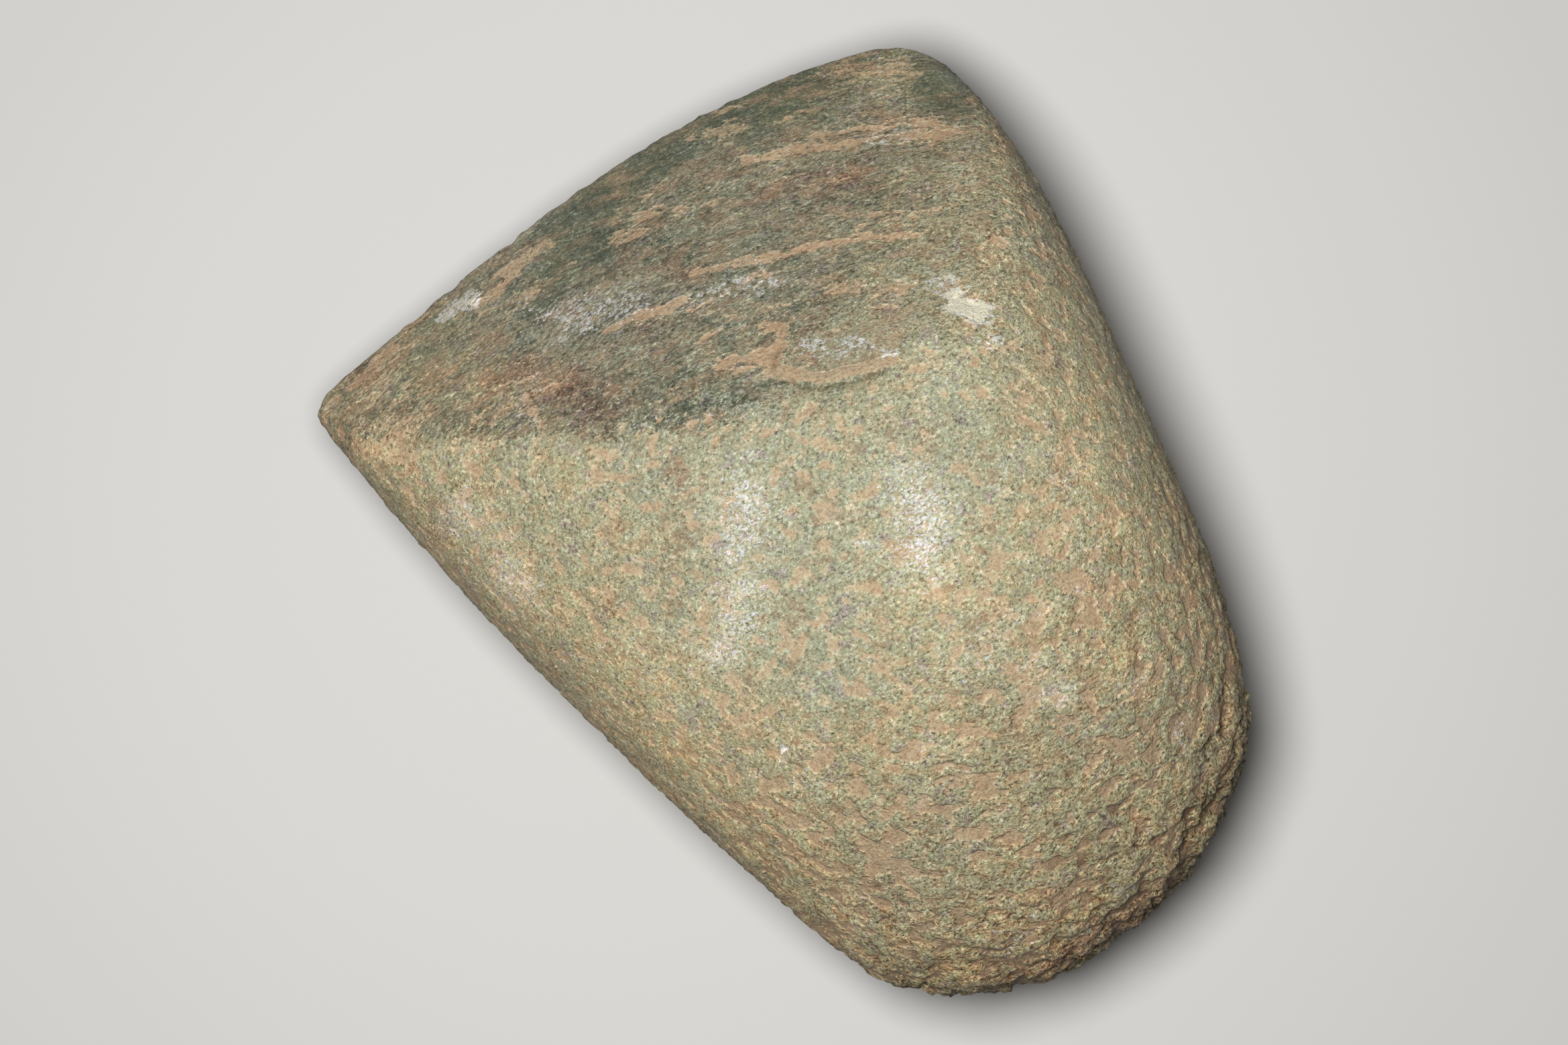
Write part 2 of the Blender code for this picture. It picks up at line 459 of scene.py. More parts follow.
@dataclass
class GroundBevels:
    """The two bevels, ground on wet stone so that fine streaks follow the edge."""

    turns_from: float = 0.36  # how far forward a face looks where the bevel starts
    turns_by: float = 0.50  # and where all of it is ground
    turn_ragged: float = 0.05  # how far that limit wanders
    turn_ragged_size: float = 4.0
    front: Pair = (8.0, 16.0)  # how far forward a point lies where a bevel may start, and be full
    streak: float = 0.75  # width of a grinding streak
    streak_depth: float = 0.045
    streak_length: float = 5.0  # in widths
    wave: float = 6.5  # width of the slow waves left by grinding
    wave_depth: float = 0.16
    wave_drawn: Triple = (1.0, 2.2, 1.0)  # how much longer they are along each axis
    pit: float = 2.1  # spacing of the pits that were never ground out
    pit_depth: float = 0.10
    pit_reach: float = 0.4  # a pit's radius, in spacings
    pit_choice: Pair = (0.5, 1.0)  # the draws from which a pit shows and shows in full
    pit_drawn: Triple = (1.0, 1.8, 1.0)
    # The upper bevel's rear limit: its y, its x, and how softly it fades there.
    rear: tuple[Triple, ...] = (
        (-39.0, 31.0, 6.0),
        (-30.0, 26.0, 7.0),
        (-23.0, 24.2, 6.5),
        (-18.0, 23.6, 4.5),
        (-10.0, 23.0, 3.0),
        (1.0, 19.6, 1.5),
        (9.0, 23.2, 1.4),
        (20.0, 31.0, 1.4),
        (30.0, 37.2, 1.8),
        (38.0, 43.0, 3.0),
    )
    rear_ragged: float = 1.5  # how far the rear limit wanders
    rear_ragged_size: float = 3.5
    shoulder: float = 0.5  # painted shade: how far the shoulder behind the rear limit is darkened
    shoulder_front: Pair = (6.0, 16.0)  # the shoulder's rear, from start to full
    shoulder_side: Pair = (-14.0, -24.0)  # and its inner side
    # The lower bevel's rear limit: how far forward a face looks there, and how far forward it lies.
    under: Pair = (0.30, 0.55)
    under_ragged: float = 0.08
    under_front: Pair = (10.0, 20.0)
    sweep: float = 0.235  # how steeply the streaks cross the stone
    sweep_bend: float = -0.00372
    scratch: float = -0.019  # the same for the finer scratches
    scratch_bend: float = -0.0080
    soil_level: float = -0.135  # how high soil lies in the streaks
    soil_uneven: float = 0.15
    soil_patch: float = 1.5
    soil_drawn: Triple = (1.0, 2.3, 1.3)
    grit: Grit = field(default_factory=lambda: Grit(29))

    def across(self, at: Array, slope: float, bend: float) -> Array:
        """Measures points across a family of bent lines.

        Args:
            at: Points in millimetres.
            slope: How far the lines go forward for each millimetre to the side.
            bend: How fast that grows.

        Returns:
            The points, with their first coordinate measured from the lines.
        """
        y = at[:, 1]
        return np.stack([at[:, 0] - (slope * y + bend * y * y), y, at[:, 2]], axis=1)

    def flow(self, at: Array) -> Array:
        """The points with their first coordinate measured across the grinding streaks."""
        return self.across(at, self.sweep, self.sweep_bend)

    def hatch(self, at: Array) -> Array:
        """The points with their first coordinate measured across the finer, steeper scratches."""
        return self.across(at, self.scratch, self.scratch_bend)

    def cover(self, at: Array, normal: Array) -> Array:
        """How far each point belongs to a bevel.

        Args:
            at: Points in millimetres.
            normal: The evened directions that they face.

        Returns:
            Values from 0 to 1.
        """
        ragged = self.turn_ragged * self.grit.rough(at, self.turn_ragged_size, 3, 0.7)
        front = turn(*self.front, at[:, 0])
        return turn(self.turns_from, self.turns_by, normal[:, 0] + ragged) * front

    def darkened(self, at: Array, normal: Array) -> Array:
        """How far grinding has darkened each point, which fades into the body, and how far shade is painted
        on the shoulder behind the rear limit.

        Args:
            at: Points in millimetres.
            normal: The widely evened directions that they face.

        Returns:
            Values from 0 to 1.
        """
        long = self.flow(at) / (1.0, 2.0, 1.0)
        ragged = self.rear_ragged * self.grit.rough(long, self.rear_ragged_size, 3, 0.65)
        rear_y, rear_x, rear_soft = np.array(self.rear).T
        rear = np.interp(at[:, 1], rear_y, rear_x)
        soft = np.interp(at[:, 1], rear_y, rear_soft)
        upper = turn(-soft, soft, at[:, 0] + ragged - rear)
        # Painted shade on the shoulder behind the upper bevel's rear limit.
        shoulder = turn(*self.shoulder_front, at[:, 0]) * turn(*self.shoulder_side, at[:, 1])
        upper = np.maximum(upper, self.shoulder * shoulder)
        forward = turn(*self.under, normal[:, 0] + self.under_ragged * ragged)
        lower = forward * turn(*self.under_front, at[:, 0])
        return np.where(normal[:, 2] > 0, upper, lower)

    def height(self, at: Array) -> Array:
        """The relief left on the ground faces.

        Args:
            at: Points in millimetres.

        Returns:
            Heights in millimetres.
        """
        flow = self.flow(at)
        long = flow / (1.0, self.streak_length, 2.0)
        streaks = self.streak_depth * self.grit.rough(long, self.streak, 2, 0.7)
        waves = self.wave_depth * self.grit.rough(flow / self.wave_drawn, self.wave, 2)
        near, value = self.grit.cells(flow / self.pit_drawn, self.pit)
        return streaks + waves - self.pit_depth * bowl(near, self.pit_reach) * turn(*self.pit_choice, value)

    def soil_height(self, at: Array) -> Array:
        """How high soil lies in the streaks, in millimetres on the relief's own scale."""
        long = self.flow(at) / self.soil_drawn + 60
        return self.soil_level + self.soil_uneven * self.grit.rough(long, self.soil_patch, 3, 0.7)


@dataclass
class OldDamage:
    """The scars, cracks and chips that use and the ground left on this stone."""

    # The stepped scar at the crease.
    step: Path = ((24.6, -6.6), (21.9, -3.4), (18.0, -6.4), (16.1, -11.2), (14.6, -15.4))
    step_depth: float = 0.55
    step_reach: float = 4.0  # how far behind its line it slopes up again
    step_start: Pair = (0.0, 0.12)  # how it comes in along its line, from 0 to 1
    step_end: Pair = (1.0, 0.8)  # and how it goes out
    step_rim: Pair = (9.0, 5.0)  # how far from its line it starts, and where it is whole
    # The crack and the crevice at the butt's side.
    crack: Path = ((-33.0, -26.3), (-36.2, -23.3), (-38.6, -21.2), (-38.7, -19.8), (-39.8, -17.2))
    crevice: Path = ((-45.2, -17.0), (-46.4, -13.0), (-46.9, -9.4))
    groove_depth: float = 0.75
    groove_width: float = 0.55
    groove_ends: float = 0.3  # how much of its depth is left at the ends
    # The chip at the shoulder.
    chip: Path = ((18.4, -23.9), (16.2, -25.4), (14.6, -25.3))
    chip_depth: float = 0.22
    chip_rim: Pair = (1.9, 0.9)  # how far from its line it starts, and where it is deepest
    chip_ragged: float = 0.5  # how far its rim wanders
    chip_ragged_size: float = 1.6
    wobble: float = 0.35  # how far all these lines wander
    wobble_size: float = 2.2
    upper: Pair = (0.0, 0.15)  # how far up a face looks where they start, and where they show in full
    # The nicks in the cutting edge, and how far the edge has worn back unevenly.
    nick: float = 3.1  # spacing of the nicks
    nick_depth: float = 0.32
    nick_reach: float = 0.45  # half a nick's width, in spacings
    nick_choice: Pair = (0.35, 1.0)  # the draws from which a nick shows and shows in full
    wear: float = 0.14
    wear_size: float = 2.6
    grit: Grit = field(default_factory=lambda: Grit(47))

    def stepped(self, at: Array) -> Array:
        """The stepped scar at the crease, steep along its line and sloping up again behind it.

        Args:
            at: Points in millimetres.

        Returns:
            Heights in millimetres, none above 0.
        """
        away, along, side = line_distance(at, self.step)
        fade = turn(*self.step_start, along) * turn(*self.step_end, along) * turn(*self.step_rim, away)
        return -self.step_depth * np.where(side < 0, np.exp(-away / self.step_reach), 0.0) * fade

    def grooved(self, at: Array, path: Path) -> Array:
        """A crack's groove, which runs out at both ends.

        Args:
            at: Points in millimetres.
            path: The crack's own points.

        Returns:
            Heights in millimetres, none above 0.
        """
        away, along, _ = line_distance(at, path)
        fade = np.clip(4 * np.minimum(along, 1 - along) + self.groove_ends, 0, 1)
        return -self.groove_depth * fade * np.exp(-((away / self.groove_width) ** 2))

    def height(self, at: Array, normal: Array) -> Array:
        """The damage's own relief, on the upper side.

        Args:
            at: Points in millimetres.
            normal: The evened directions that they face.

        Returns:
            Heights in millimetres, none above 0.
        """
        wobble = at + self.wobble * self.grit.waves(at, self.wobble_size)[:, None]
        ragged = self.chip_ragged * self.grit.waves(at, self.chip_ragged_size)
        chipped = line_distance(wobble, self.chip)[0] + ragged
        total = self.stepped(wobble) + self.grooved(wobble, self.crack) + self.grooved(wobble, self.crevice)
        total -= self.chip_depth * turn(*self.chip_rim, chipped)
        return total * turn(*self.upper, normal[:, 2])

    def nicks(self, at: Array) -> Array:
        """How far small nicks set the cutting edge back.

        Args:
            at: Points in millimetres.

        Returns:
            Distances in millimetres, the same above and below the edge.
        """
        along = at * (0.0, 1.0, 0.0)
        near, value = self.grit.cells(along + (0.3, 0.0, 0.3), self.nick)
        bites = self.nick_depth * bowl(near, self.nick_reach) * turn(*self.nick_choice, value)
        return bites + self.wear * (1 + self.grit.rough(along, self.wear_size, 3, 0.7))


class Mark(Enum):
    """What a local mark on the stone is."""

    SOIL = "soil"
    CHALK = "chalk"
    SLATE = "slate"
    RUST = "rust_and_shade"
    MOSS = "moss"
    BURNISH = "burnish_and_glint"


class Layer(Enum):
    """What else the stone's mesh carries for its finish."""

    BEVEL = "bevel"
    GROUND = "ground"
    AGED = "aged"
    COARSE = "coarse"
    GRIME = "shade_and_grime"
    FLOW = "flow"
    HATCH = "hatch"


@dataclass(frozen=True)
class Stroke:
    """A local mark along a line on the upper side, in millimetres."""

    path: Path
    width: float  # from its line to its rim
    strength: float = 1.0
    ragged: float = 0.6  # how far its rim wanders, in widths
    soft: float = 0.6  # how far its rim fades, in widths

    def cover(self, at: Array, grain: Array, grit: Grit) -> Array:
        """How much of the mark each point carries.

        Args:
            at: Points in millimetres.
            grain: The same points, drawn together along the stone's grain.
            grit: What makes the mark's outline ragged.

        Returns:
            Values from 0 to the stroke's strength.
        """
        lobe = 1.6 * max(self.width, 0.7)
        ragged = self.ragged * grit.rough(grain, lobe, 3, 0.75)
        reach = self.width * (1 + ragged) - line_distance(at, self.path)[0]
        blur = self.soft * self.width
        return self.strength * turn(-blur, blur, reach)


@dataclass
class Stains:
    """Local marks on the upper side, and the scattered ones that the whole stone carries."""

    # Each stroke gives its path, width, strength, raggedness and softness.
    # Soil in the long grinding streaks, in the stepped scar and on the edge.
    soil: tuple[Stroke, ...] = (
        Stroke(((43.8, -14.8), (40.8, -20.8), (37.4, -27.6), (34.8, -32.0)), 0.6, 0.75, 0.9),
        Stroke(((41.4, -22.8), (37.8, -29.6), (34.4, -35.0)), 0.5, 0.7, 1.0),
        Stroke(
            ((36.2, -3.2), (33.4, -9.0), (30.5, -16.2), (27.8, -20.9), (25.3, -25.0)), 0.55, 0.78, 1.0, 0.8
        ),
        Stroke(((29.8, -20.4), (27.6, -26.0), (26.2, -29.0)), 0.4, 0.7, 1.0),
        Stroke(((47.0, 18.6), (49.6, 11.3), (49.6, 8.2)), 1.1, 0.7, 0.9, 0.9),
        Stroke(((43.8, 16.2), (46.6, 12.0)), 1.3, 0.55, 1.1, 0.9),
        Stroke(((36.9, 8.3), (35.5, 3.8), (33.9, -1.4)), 0.8, 0.8, 0.9, 0.8),
        Stroke(((35.8, 19.8), (34.2, 19.9), (32.4, 20.0)), 0.6, 0.75, 0.9),
        Stroke(((25.9, 0.2), (24.6, -2.6), (23.8, -5.4)), 0.85, 0.9, 0.8),
        Stroke(
            ((25.3, -7.2), (22.2, -3.9), (18.6, -7.2), (16.9, -11.3), (15.5, -14.9)), 0.62, 1.0, 0.25, 0.45
        ),
        Stroke(((41.6, 30.4), (40.5, 35.5), (42.0, 39.0)), 2.6, 0.55, 1.2, 0.9),
        Stroke(((46.6, -30.0), (42.0, -36.0)), 2.2, 0.6, 1.1, 0.9),
        Stroke(((48.0, 32.0), (44.0, 36.5)), 3.0, 0.5, 1.3, 0.9),
        Stroke(((49.6, -12.0), (47.6, -17.0)), 0.8, 0.6, 1.2),
    )
    # Bare, rubbed stone: on the bevels, along the stepped scar, at the shoulder and at the butt.
    chalk: tuple[Stroke, ...] = (
        Stroke(((42.4, 13.6), (39.2, 8.6), (36.4, 4.6)), 2.5, 0.86, 0.8, 1.2),
        Stroke(((38.4, 6.6), (36.0, 3.2)), 1.9, 0.8, 0.9, 1.1),
        Stroke(((49.4, 22.6), (49.6, 18.6)), 1.1, 1.1, 0.9, 1.0),
        Stroke(((34.6, -1.2), (32.7, -5.2), (30.8, -9.0)), 1.8, 0.80, 0.8, 1.2),
        Stroke(((36.8, -28.2), (35.6, -32.4)), 1.3, 0.75, 0.9, 1.0),
        Stroke(((44.5, 14.8), (41.6, 10.5)), 1.4, 0.6, 1.0, 1.0),
        Stroke(((22.4, -8.2), (21.4, -9.4)), 1.2, 0.94, 0.6, 0.8),
        Stroke(((20.2, -11.2), (19.4, -12.4)), 1.2, 0.94, 0.6, 0.8),
        Stroke(((19.2, -13.2), (18.0, -13.8)), 0.7, 0.95, 0.6, 0.8),
        Stroke(((17.0, -14.2), (16.2, -15.0)), 0.7, 1.0, 0.6, 0.8),
        Stroke(((25.4, 11.0), (22.4, 5.0), (20.4, 1.0)), 0.9, 0.62, 0.9, 1.1),
        Stroke(((29.0, 32.5), (24.0, 32.3), (19.6, 32.1)), 2.0, 0.5, 0.9, 1.2),
        Stroke(((17.2, -24.1), (15.4, -24.8), (14.6, -24.5)), 1.5, 1.8, 0.9, 0.9),
        Stroke(((20.0, -23.4), (15.4, -24.8), (11.4, -24.8)), 1.5, 0.90, 0.9, 1.1),
        Stroke(((-42.7, 8.3), (-43.6, 13.1)), 1.8, 0.8, 0.9, 1.2),
        Stroke(((-35.3, -17.2), (-36.0, -16.6)), 0.9, 0.95, 0.9, 1.0),
        Stroke(((-46.8, -3.0), (-46.2, -1.8)), 0.9, 0.95, 0.9, 1.0),
        Stroke(((-11.6, 19.0), (-12.2, 19.4)), 0.6, 1.0, 0.9, 1.0),
    )
    # Darker, bluish stone on the bevels, and the thin shadow along the stepped scar.
    slate: tuple[Stroke, ...] = (
        Stroke(((38.8, 26.5), (36.0, 24.6), (33.4, 22.4)), 1.7, 0.9, 0.8, 0.9),
        Stroke(((29.4, 12.0), (25.2, 5.2), (21.2, -1.4)), 2.2, 0.85, 0.9, 0.9),
        Stroke(((27.6, -2.6), (26.0, -5.6), (26.6, -10.0)), 1.8, 0.8, 0.9),
        Stroke(((44.8, 3.0), (43.0, -1.6), (38.6, -5.0)), 2.8, 0.6, 0.9),
        Stroke(((21.2, -3.6), (17.6, -7.4), (16.0, -11.3), (14.8, -14.6)), 0.3, 0.7, 0.3, 0.8),
    )
    # Rusty patches on the bevels, and at the butt's end rust that also darkens the end facet as painted
    # shade.
    rust_and_shade: tuple[Stroke, ...] = (
        Stroke(((37.4, 17.8), (33.9, 15.6), (30.6, 14.0)), 2.7, 1.0, 0.7, 0.9),
        Stroke(((39.5, -14.5), (34.5, -24.0)), 1.5, 0.5, 0.8, 0.9),
        # Rust, and painted shade on the end facet.
        Stroke(((-48.6, 8.3), (-49.8, 0.0), (-49.6, -7.4)), 1.3, 0.9, 0.6, 0.8),
    )
    # Green growth along the cutting edge.
    moss: tuple[Stroke, ...] = (
        Stroke(((45.4, 29.6), (48.8, 24.0)), 1.5, 0.5, 0.8, 0.9),
        Stroke(((46.6, 6.5), (50.6, -2.0), (51.8, -10.2), (49.5, -22.5), (47.2, -30.2)), 3.4, 1.0, 0.7, 0.9),
        Stroke(((49.4, -15.0), (47.1, -20.6), (45.6, -24.0)), 2.6, 1.0, 0.8, 0.8),
        Stroke(((40.5, -37.6), (37.0, -38.0)), 2.6, 0.9, 0.8, 0.8),
        Stroke(((44.0, 13.0), (47.0, 8.0)), 1.6, 0.8, 0.9, 0.9),
    )
    # Grains worn flat, so that they shine: they are glossier, and painted glints are laid on them, most on
    # the body's crest where the lamp's highlight falls.
    burnish_and_glint: tuple[Stroke, ...] = (
        Stroke(((2.8, -8.4), (-0.8, -6.9), (-4.8, -4.8)), 3.1, 0.90, 0.5, 1.5),
        Stroke(((1.6, -0.8), (1.2, -1.2)), 0.9, 0.9, 0.8, 1.2),
        Stroke(((14.1, 5.9), (9.5, 9.6), (4.3, 13.6), (1.0, 18.2)), 2.3, 0.8, 1.0, 1.2),
        Stroke(((30.0, 32.6), (25.0, 32.4), (19.6, 32.1)), 2.4, 0.75, 0.9, 1.2),
        Stroke(((-20.0, -8.2), (-23.0, -9.4)), 2.0, 0.75, 0.9, 1.2),
    )
    upper: Pair = (-0.1, 0.15)  # how far up a face looks where strokes start, and where they show in full
    # How the stone has browned: to the back and at the butt, towards both flanks, on steep faces,
    # on the underside, and in clouds.
    aged_back: Fade = Fade(0.40, 10.0, -30.0)
    aged_butt: Fade = Fade(0.45, -28.0, -50.0)
    aged_right: Fade = Fade(0.28, -6.0, -34.0)
    aged_left: Fade = Fade(0.45, 10.0, 32.0)
    aged_steep: Fade = Fade(0.2, 0.8, 0.2)
    aged_under: Fade = Fade(0.45, 0.2, -0.4)
    aged_cloud: float = 0.22
    aged_cloud_size: float = 11.0
    grit: Grit = field(default_factory=lambda: Grit(83))

    def strokes(self) -> dict[Mark, tuple[Stroke, ...]]:
        """The strokes of each mark.

        Returns:
            The strokes by mark.
        """
        return {
            Mark.SOIL: self.soil,
            Mark.CHALK: self.chalk,
            Mark.SLATE: self.slate,
            Mark.RUST: self.rust_and_shade,
            Mark.MOSS: self.moss,
            Mark.BURNISH: self.burnish_and_glint,
        }

    def cover(self, mark: Mark, at: Array, grain: Array, normal: Array) -> Array:
        """How much of one mark each point carries from the strokes.

        Args:
            mark: Which mark.
            at: Points in millimetres.
            grain: The same points, drawn together along the stone's grain.
            normal: The evened directions that they face.

        Returns:
            Values from 0 to about 1, and 0 on the underside.
        """
        total = np.zeros(len(at))
        for stroke in self.strokes()[mark]:
            total = np.maximum(total, stroke.cover(at, grain, self.grit))
        return total * turn(*self.upper, normal[:, 2])

    def aged(self, at: Array, normal: Array) -> Array:
        """How far the stone has browned, most at the butt and along the two flanks.

        Args:
            at: Points in millimetres.
            normal: The evened directions that they face.

        Returns:
            Values from 0 to 1.
        """
        back = self.aged_back.over(at[:, 0]) + self.aged_butt.over(at[:, 0])
        side = self.aged_right.over(at[:, 1]) + self.aged_left.over(at[:, 1])
        steep = self.aged_steep.over(np.abs(normal[:, 2]))
        under = self.aged_under.over(normal[:, 2])
        cloud = self.aged_cloud * self.grit.rough(at + 5, self.aged_cloud_size, 3)
        return np.clip(back + side + steep + under + cloud, 0, 1)

    def scattered(self, at: Array, size: float, rare: float) -> Array:
        """Cloudy patches over the whole stone.

        Args:
            at: Points in millimetres.
            size: Width of a patch.
            rare: Higher leaves fewer of them.

        Returns:
            Values from 0 to 1.
        """
        return turn(rare, rare + 0.5, self.grit.rough(at + 7 * size, size, 3, 0.6))


class Join(Enum):
    """How two values come together."""

    ADD = "ADD"
    MULTIPLY = "MULTIPLY"
    LARGER = "MAXIMUM"


class Blend(Enum):
    """How a colour comes over another: covering it, or tinting it as a glaze does."""

    COVER = "MIX"
    TINT = "MULTIPLY"


class Slope(Enum):
    """How a value goes from one end of a range to the other."""

    EVEN = "LINEAR"
    SMOOTH = "SMOOTHSTEP"


@dataclass(frozen=True)
class Cloud:
    """A cloudy texture."""

    size: float  # in millimetres
    detail: float = 4.0  # how many finer layers lie on it
    rough: float = 0.6  # how strong they are
    drawn: Triple = (1.0, 1.0, 1.0)  # the scale along each axis, less than 1 where it runs longer


class Bench:
    """Lays out a material's nodes, with every texture measured in millimetres."""

    EVENNESS: float = 0.4  # how evenly a rough surface spreads the light that it takes in

    def __init__(self, name: str) -> None:
        """Starts an empty material.

        Args:
            name: The material's name.
        """
        self.material = bpy.data.materials.new(name)
        self.material.use_nodes = True
        self.tree = self.material.node_tree
        self.tree.nodes.clear()

    def add(self, kind: str, **settings: str | bool) -> bpy.types.Node:
        """Adds a node.

        Args:
            kind: The node's type, without the word that shader nodes start with.
            settings: The node's own settings.

        Returns:
            The new node.
        """
        node = self.tree.nodes.new("ShaderNode" + kind)
        for name, value in settings.items():
            setattr(node, name, value)
        return node

    def feed(self, socket: Socket, value: Socket | float | Colour) -> None:
        """Links a socket, or sets its number or colour.

        Args:
            socket: The socket.
            value: What it takes its value from, or the value.
        """
        if isinstance(value, bpy.types.NodeSocket):
            self.tree.links.new(value, socket)
        elif isinstance(value, tuple) and len(socket.default_value) == 4:
            socket.default_value = (*value, 1.0)
        else:
            socket.default_value = value

    def place(self) -> Socket:
        """Finds the place on the stone.

        Returns:
            The place in millimetres.
        """
        scale = self.add("VectorMath", operation="SCALE")
        self.feed(scale.inputs[0], self.add("TexCoord").outputs["Object"])
        scale.inputs["Scale"].default_value = 1 / MM
        return scale.outputs[0]

    def layer(self, name: Mark | Layer, vector: bool = False) -> Socket:
        """One of the mesh's own layers."""
        node = self.add("Attribute", attribute_name=name.value)
        return node.outputs["Vector" if vector else "Fac"]

    def stretched(self, at: Socket, by: Triple) -> Socket:
        """Scales a place along each axis.

        Args:
            at: The place.
            by: The scales, less than 1 for a texture that runs longer that way.

        Returns:
            The new place.
        """
        node = self.add("VectorMath", operation="MULTIPLY")
        self.feed(node.inputs[0], at)
        self.feed(node.inputs[1], by)
        return node.outputs[0]

    def warped(self, at: Socket, size: float, by: float) -> Socket:
        """Pushes a place about by noise.

        Args:
            at: The place.
            size: The noise's size in millimetres.
            by: How far it pushes, in millimetres.

        Returns:
            The new place.
        """
        noise = self.add("TexNoise")
        self.feed(noise.inputs["Vector"], at)
        noise.inputs["Scale"].default_value = 1 / size
        push = self.add("VectorMath", operation="MULTIPLY_ADD")
        self.feed(push.inputs[0], noise.outputs["Color"])
        push.inputs[1].default_value = (2 * by, 2 * by, 2 * by)
        self.feed(push.inputs[2], at)
        return push.outputs[0]

    def noise(self, at: Socket, cloud: Cloud) -> Socket:
        """Cloudy noise.

        Args:
            at: The place.
            cloud: The cloud's size and character.

        Returns:
            Values from about 0.25 to 0.75.
        """
        node = self.add("TexNoise")
        self.feed(node.inputs["Vector"], self.stretched(at, cloud.drawn))
        node.inputs["Scale"].default_value = 1 / cloud.size
        node.inputs["Detail"].default_value = cloud.detail
        node.inputs["Roughness"].default_value = cloud.rough
        return node.outputs[0]

    def grains(self, at: Socket, size: float) -> tuple[Socket, Socket]:
        """Grains of mineral.

        Args:
            at: The place.
            size: A grain's size in millimetres.

        Returns:
            The distance from the grain's middle, and a value of its own from 0 to 1.
        """
        node = self.add("TexVoronoi")
        self.feed(node.inputs["Vector"], at)
        node.inputs["Scale"].default_value = 1 / size
        split = self.add("SeparateColor")
        self.feed(split.inputs[0], node.outputs["Color"])
        return node.outputs["Distance"], split.outputs[0]

    def combined(self, how: Join, values: tuple[Number, ...]) -> Socket:
        """Brings values together, one after another.

        Args:
            how: How each comes to the ones before it.
            values: Two values or more.

        Returns:
            The outcome.
        """
        total = values[0]
        for value in values[1:]:
            node = self.add("Math", operation=how.value)
            self.feed(node.inputs[0], total)
            self.feed(node.inputs[1], value)
            total = node.outputs[0]
        return total

    def sum(self, *values: Number) -> Socket:
        """Values added up."""
        return self.combined(Join.ADD, values)

    def product(self, *values: Number) -> Socket:
        """Values multiplied with each other."""
        return self.combined(Join.MULTIPLY, values)

    def larger(self, *values: Number) -> Socket:
        """The largest of the values."""
        return self.combined(Join.LARGER, values)

    def scaled(self, value: Socket, by: float, plus: float) -> Socket:
        """A value multiplied and shifted."""
        return self.sum(self.product(value, by), plus)

    def centred(self, value: Socket, by: float) -> Socket:
        """How far a value from 0 to 1 lies above its middle, multiplied."""
        return self.scaled(value, by, -by / 2)

    def turned(self, value: Socket, low: float, high: float) -> Socket:
        """A smooth turn from 0 at low to 1 at high."""
        return self.ranged(value, (low, high), (0.0, 1.0), Slope.SMOOTH)

    def mapped(self, value: Socket, first: float, last: float) -> Socket:
        """A value from 0 to 1 spread between two others."""
        return self.ranged(value, (0.0, 1.0), (first, last), Slope.EVEN)

    def ranged(self, value: Socket, old: Pair, new: Pair, how: Slope) -> Socket:
        """Takes a value from one range to another.

        Args:
            value: The value.
            old: The range that it is in, whose start may lie above its end.
            new: What that range's start and end become.
            how: How it goes from one to the other.

        Returns:
            The value in its new range.
        """
        if old[0] > old[1]:
            old, new = old[::-1], new[::-1]
        node = self.add("MapRange", interpolation_type=how.value)
        self.feed(node.inputs[0], value)
        for socket, number in zip(node.inputs[1:5], (*old, *new)):
            socket.default_value = number
        return node.outputs[0]

    def blended(self, how: Blend, share: Number, under: Paint, over: Paint) -> Socket:
        """Lays one colour over another.

        Args:
            how: The way that it comes over.
            share: How much of it there is.
            under: The colour below.
            over: The colour above.

        Returns:
            The outcome.
        """
        node = self.add("Mix", data_type="RGBA", blend_type=how.value, clamp_factor=True)
        self.feed(node.inputs[0], share)
        self.feed(node.inputs[6], under)
        self.feed(node.inputs[7], over)
        return node.outputs[2]

    def mixed(self, share: Number, under: Paint, over: Paint) -> Socket:
        """A colour covered by another."""
        return self.blended(Blend.COVER, share, under, over)

    def tinted(self, share: Number, under: Paint, over: Paint) -> Socket:
        """A colour tinted by another."""
        return self.blended(Blend.TINT, share, under, over)

    def between(self, share: Socket, first: Number, last: Number) -> Socket:
        """Finds a value between two others.

        Args:
            share: How far towards the last one it is.
            first: The first value.
            last: The last value.

        Returns:
            The value.
        """
        node = self.add("Mix", data_type="FLOAT", clamp_factor=True)
        self.feed(node.inputs[0], share)
        self.feed(node.inputs[2], first)
        self.feed(node.inputs[3], last)
        return node.outputs[0]

    def ramp(self, value: Socket, stops: tuple[tuple[float, Colour], ...]) -> Socket:
        """Colours along a value.

        Args:
            value: The value.
            stops: Where each colour is reached.

        Returns:
            The colour.
        """
        node = self.add("ValToRGB")
        self.feed(node.inputs[0], value)
        elements = node.color_ramp.elements
        for element, (position, colour) in zip(elements, (stops[0], stops[-1])):
            element.position = position
            element.color = (*colour, 1.0)
        for position, colour in stops[1:-1]:
            elements.new(position).color = (*colour, 1.0)
        return node.outputs[0]

    def finished(self, colour: Socket, rough: Socket, normal: Socket, specular: float) -> bpy.types.Material:
        """Joins everything to the shader.

        Args:
            colour: The surface's own colour.
            rough: Its roughness.
            normal: The way that its fine relief makes it face.
            specular: How strong its gloss is.

        Returns:
            The material.
        """
        shader = self.add("BsdfPrincipled")
        self.feed(shader.inputs["Base Color"], colour)
        self.feed(shader.inputs["Roughness"], rough)
        self.feed(shader.inputs["Normal"], normal)
        shader.inputs["Specular IOR Level"].default_value = specular
        shader.inputs["Diffuse Roughness"].default_value = self.EVENNESS
        self.feed(self.add("OutputMaterial").inputs["Surface"], shader.outputs[0])
        return self.material


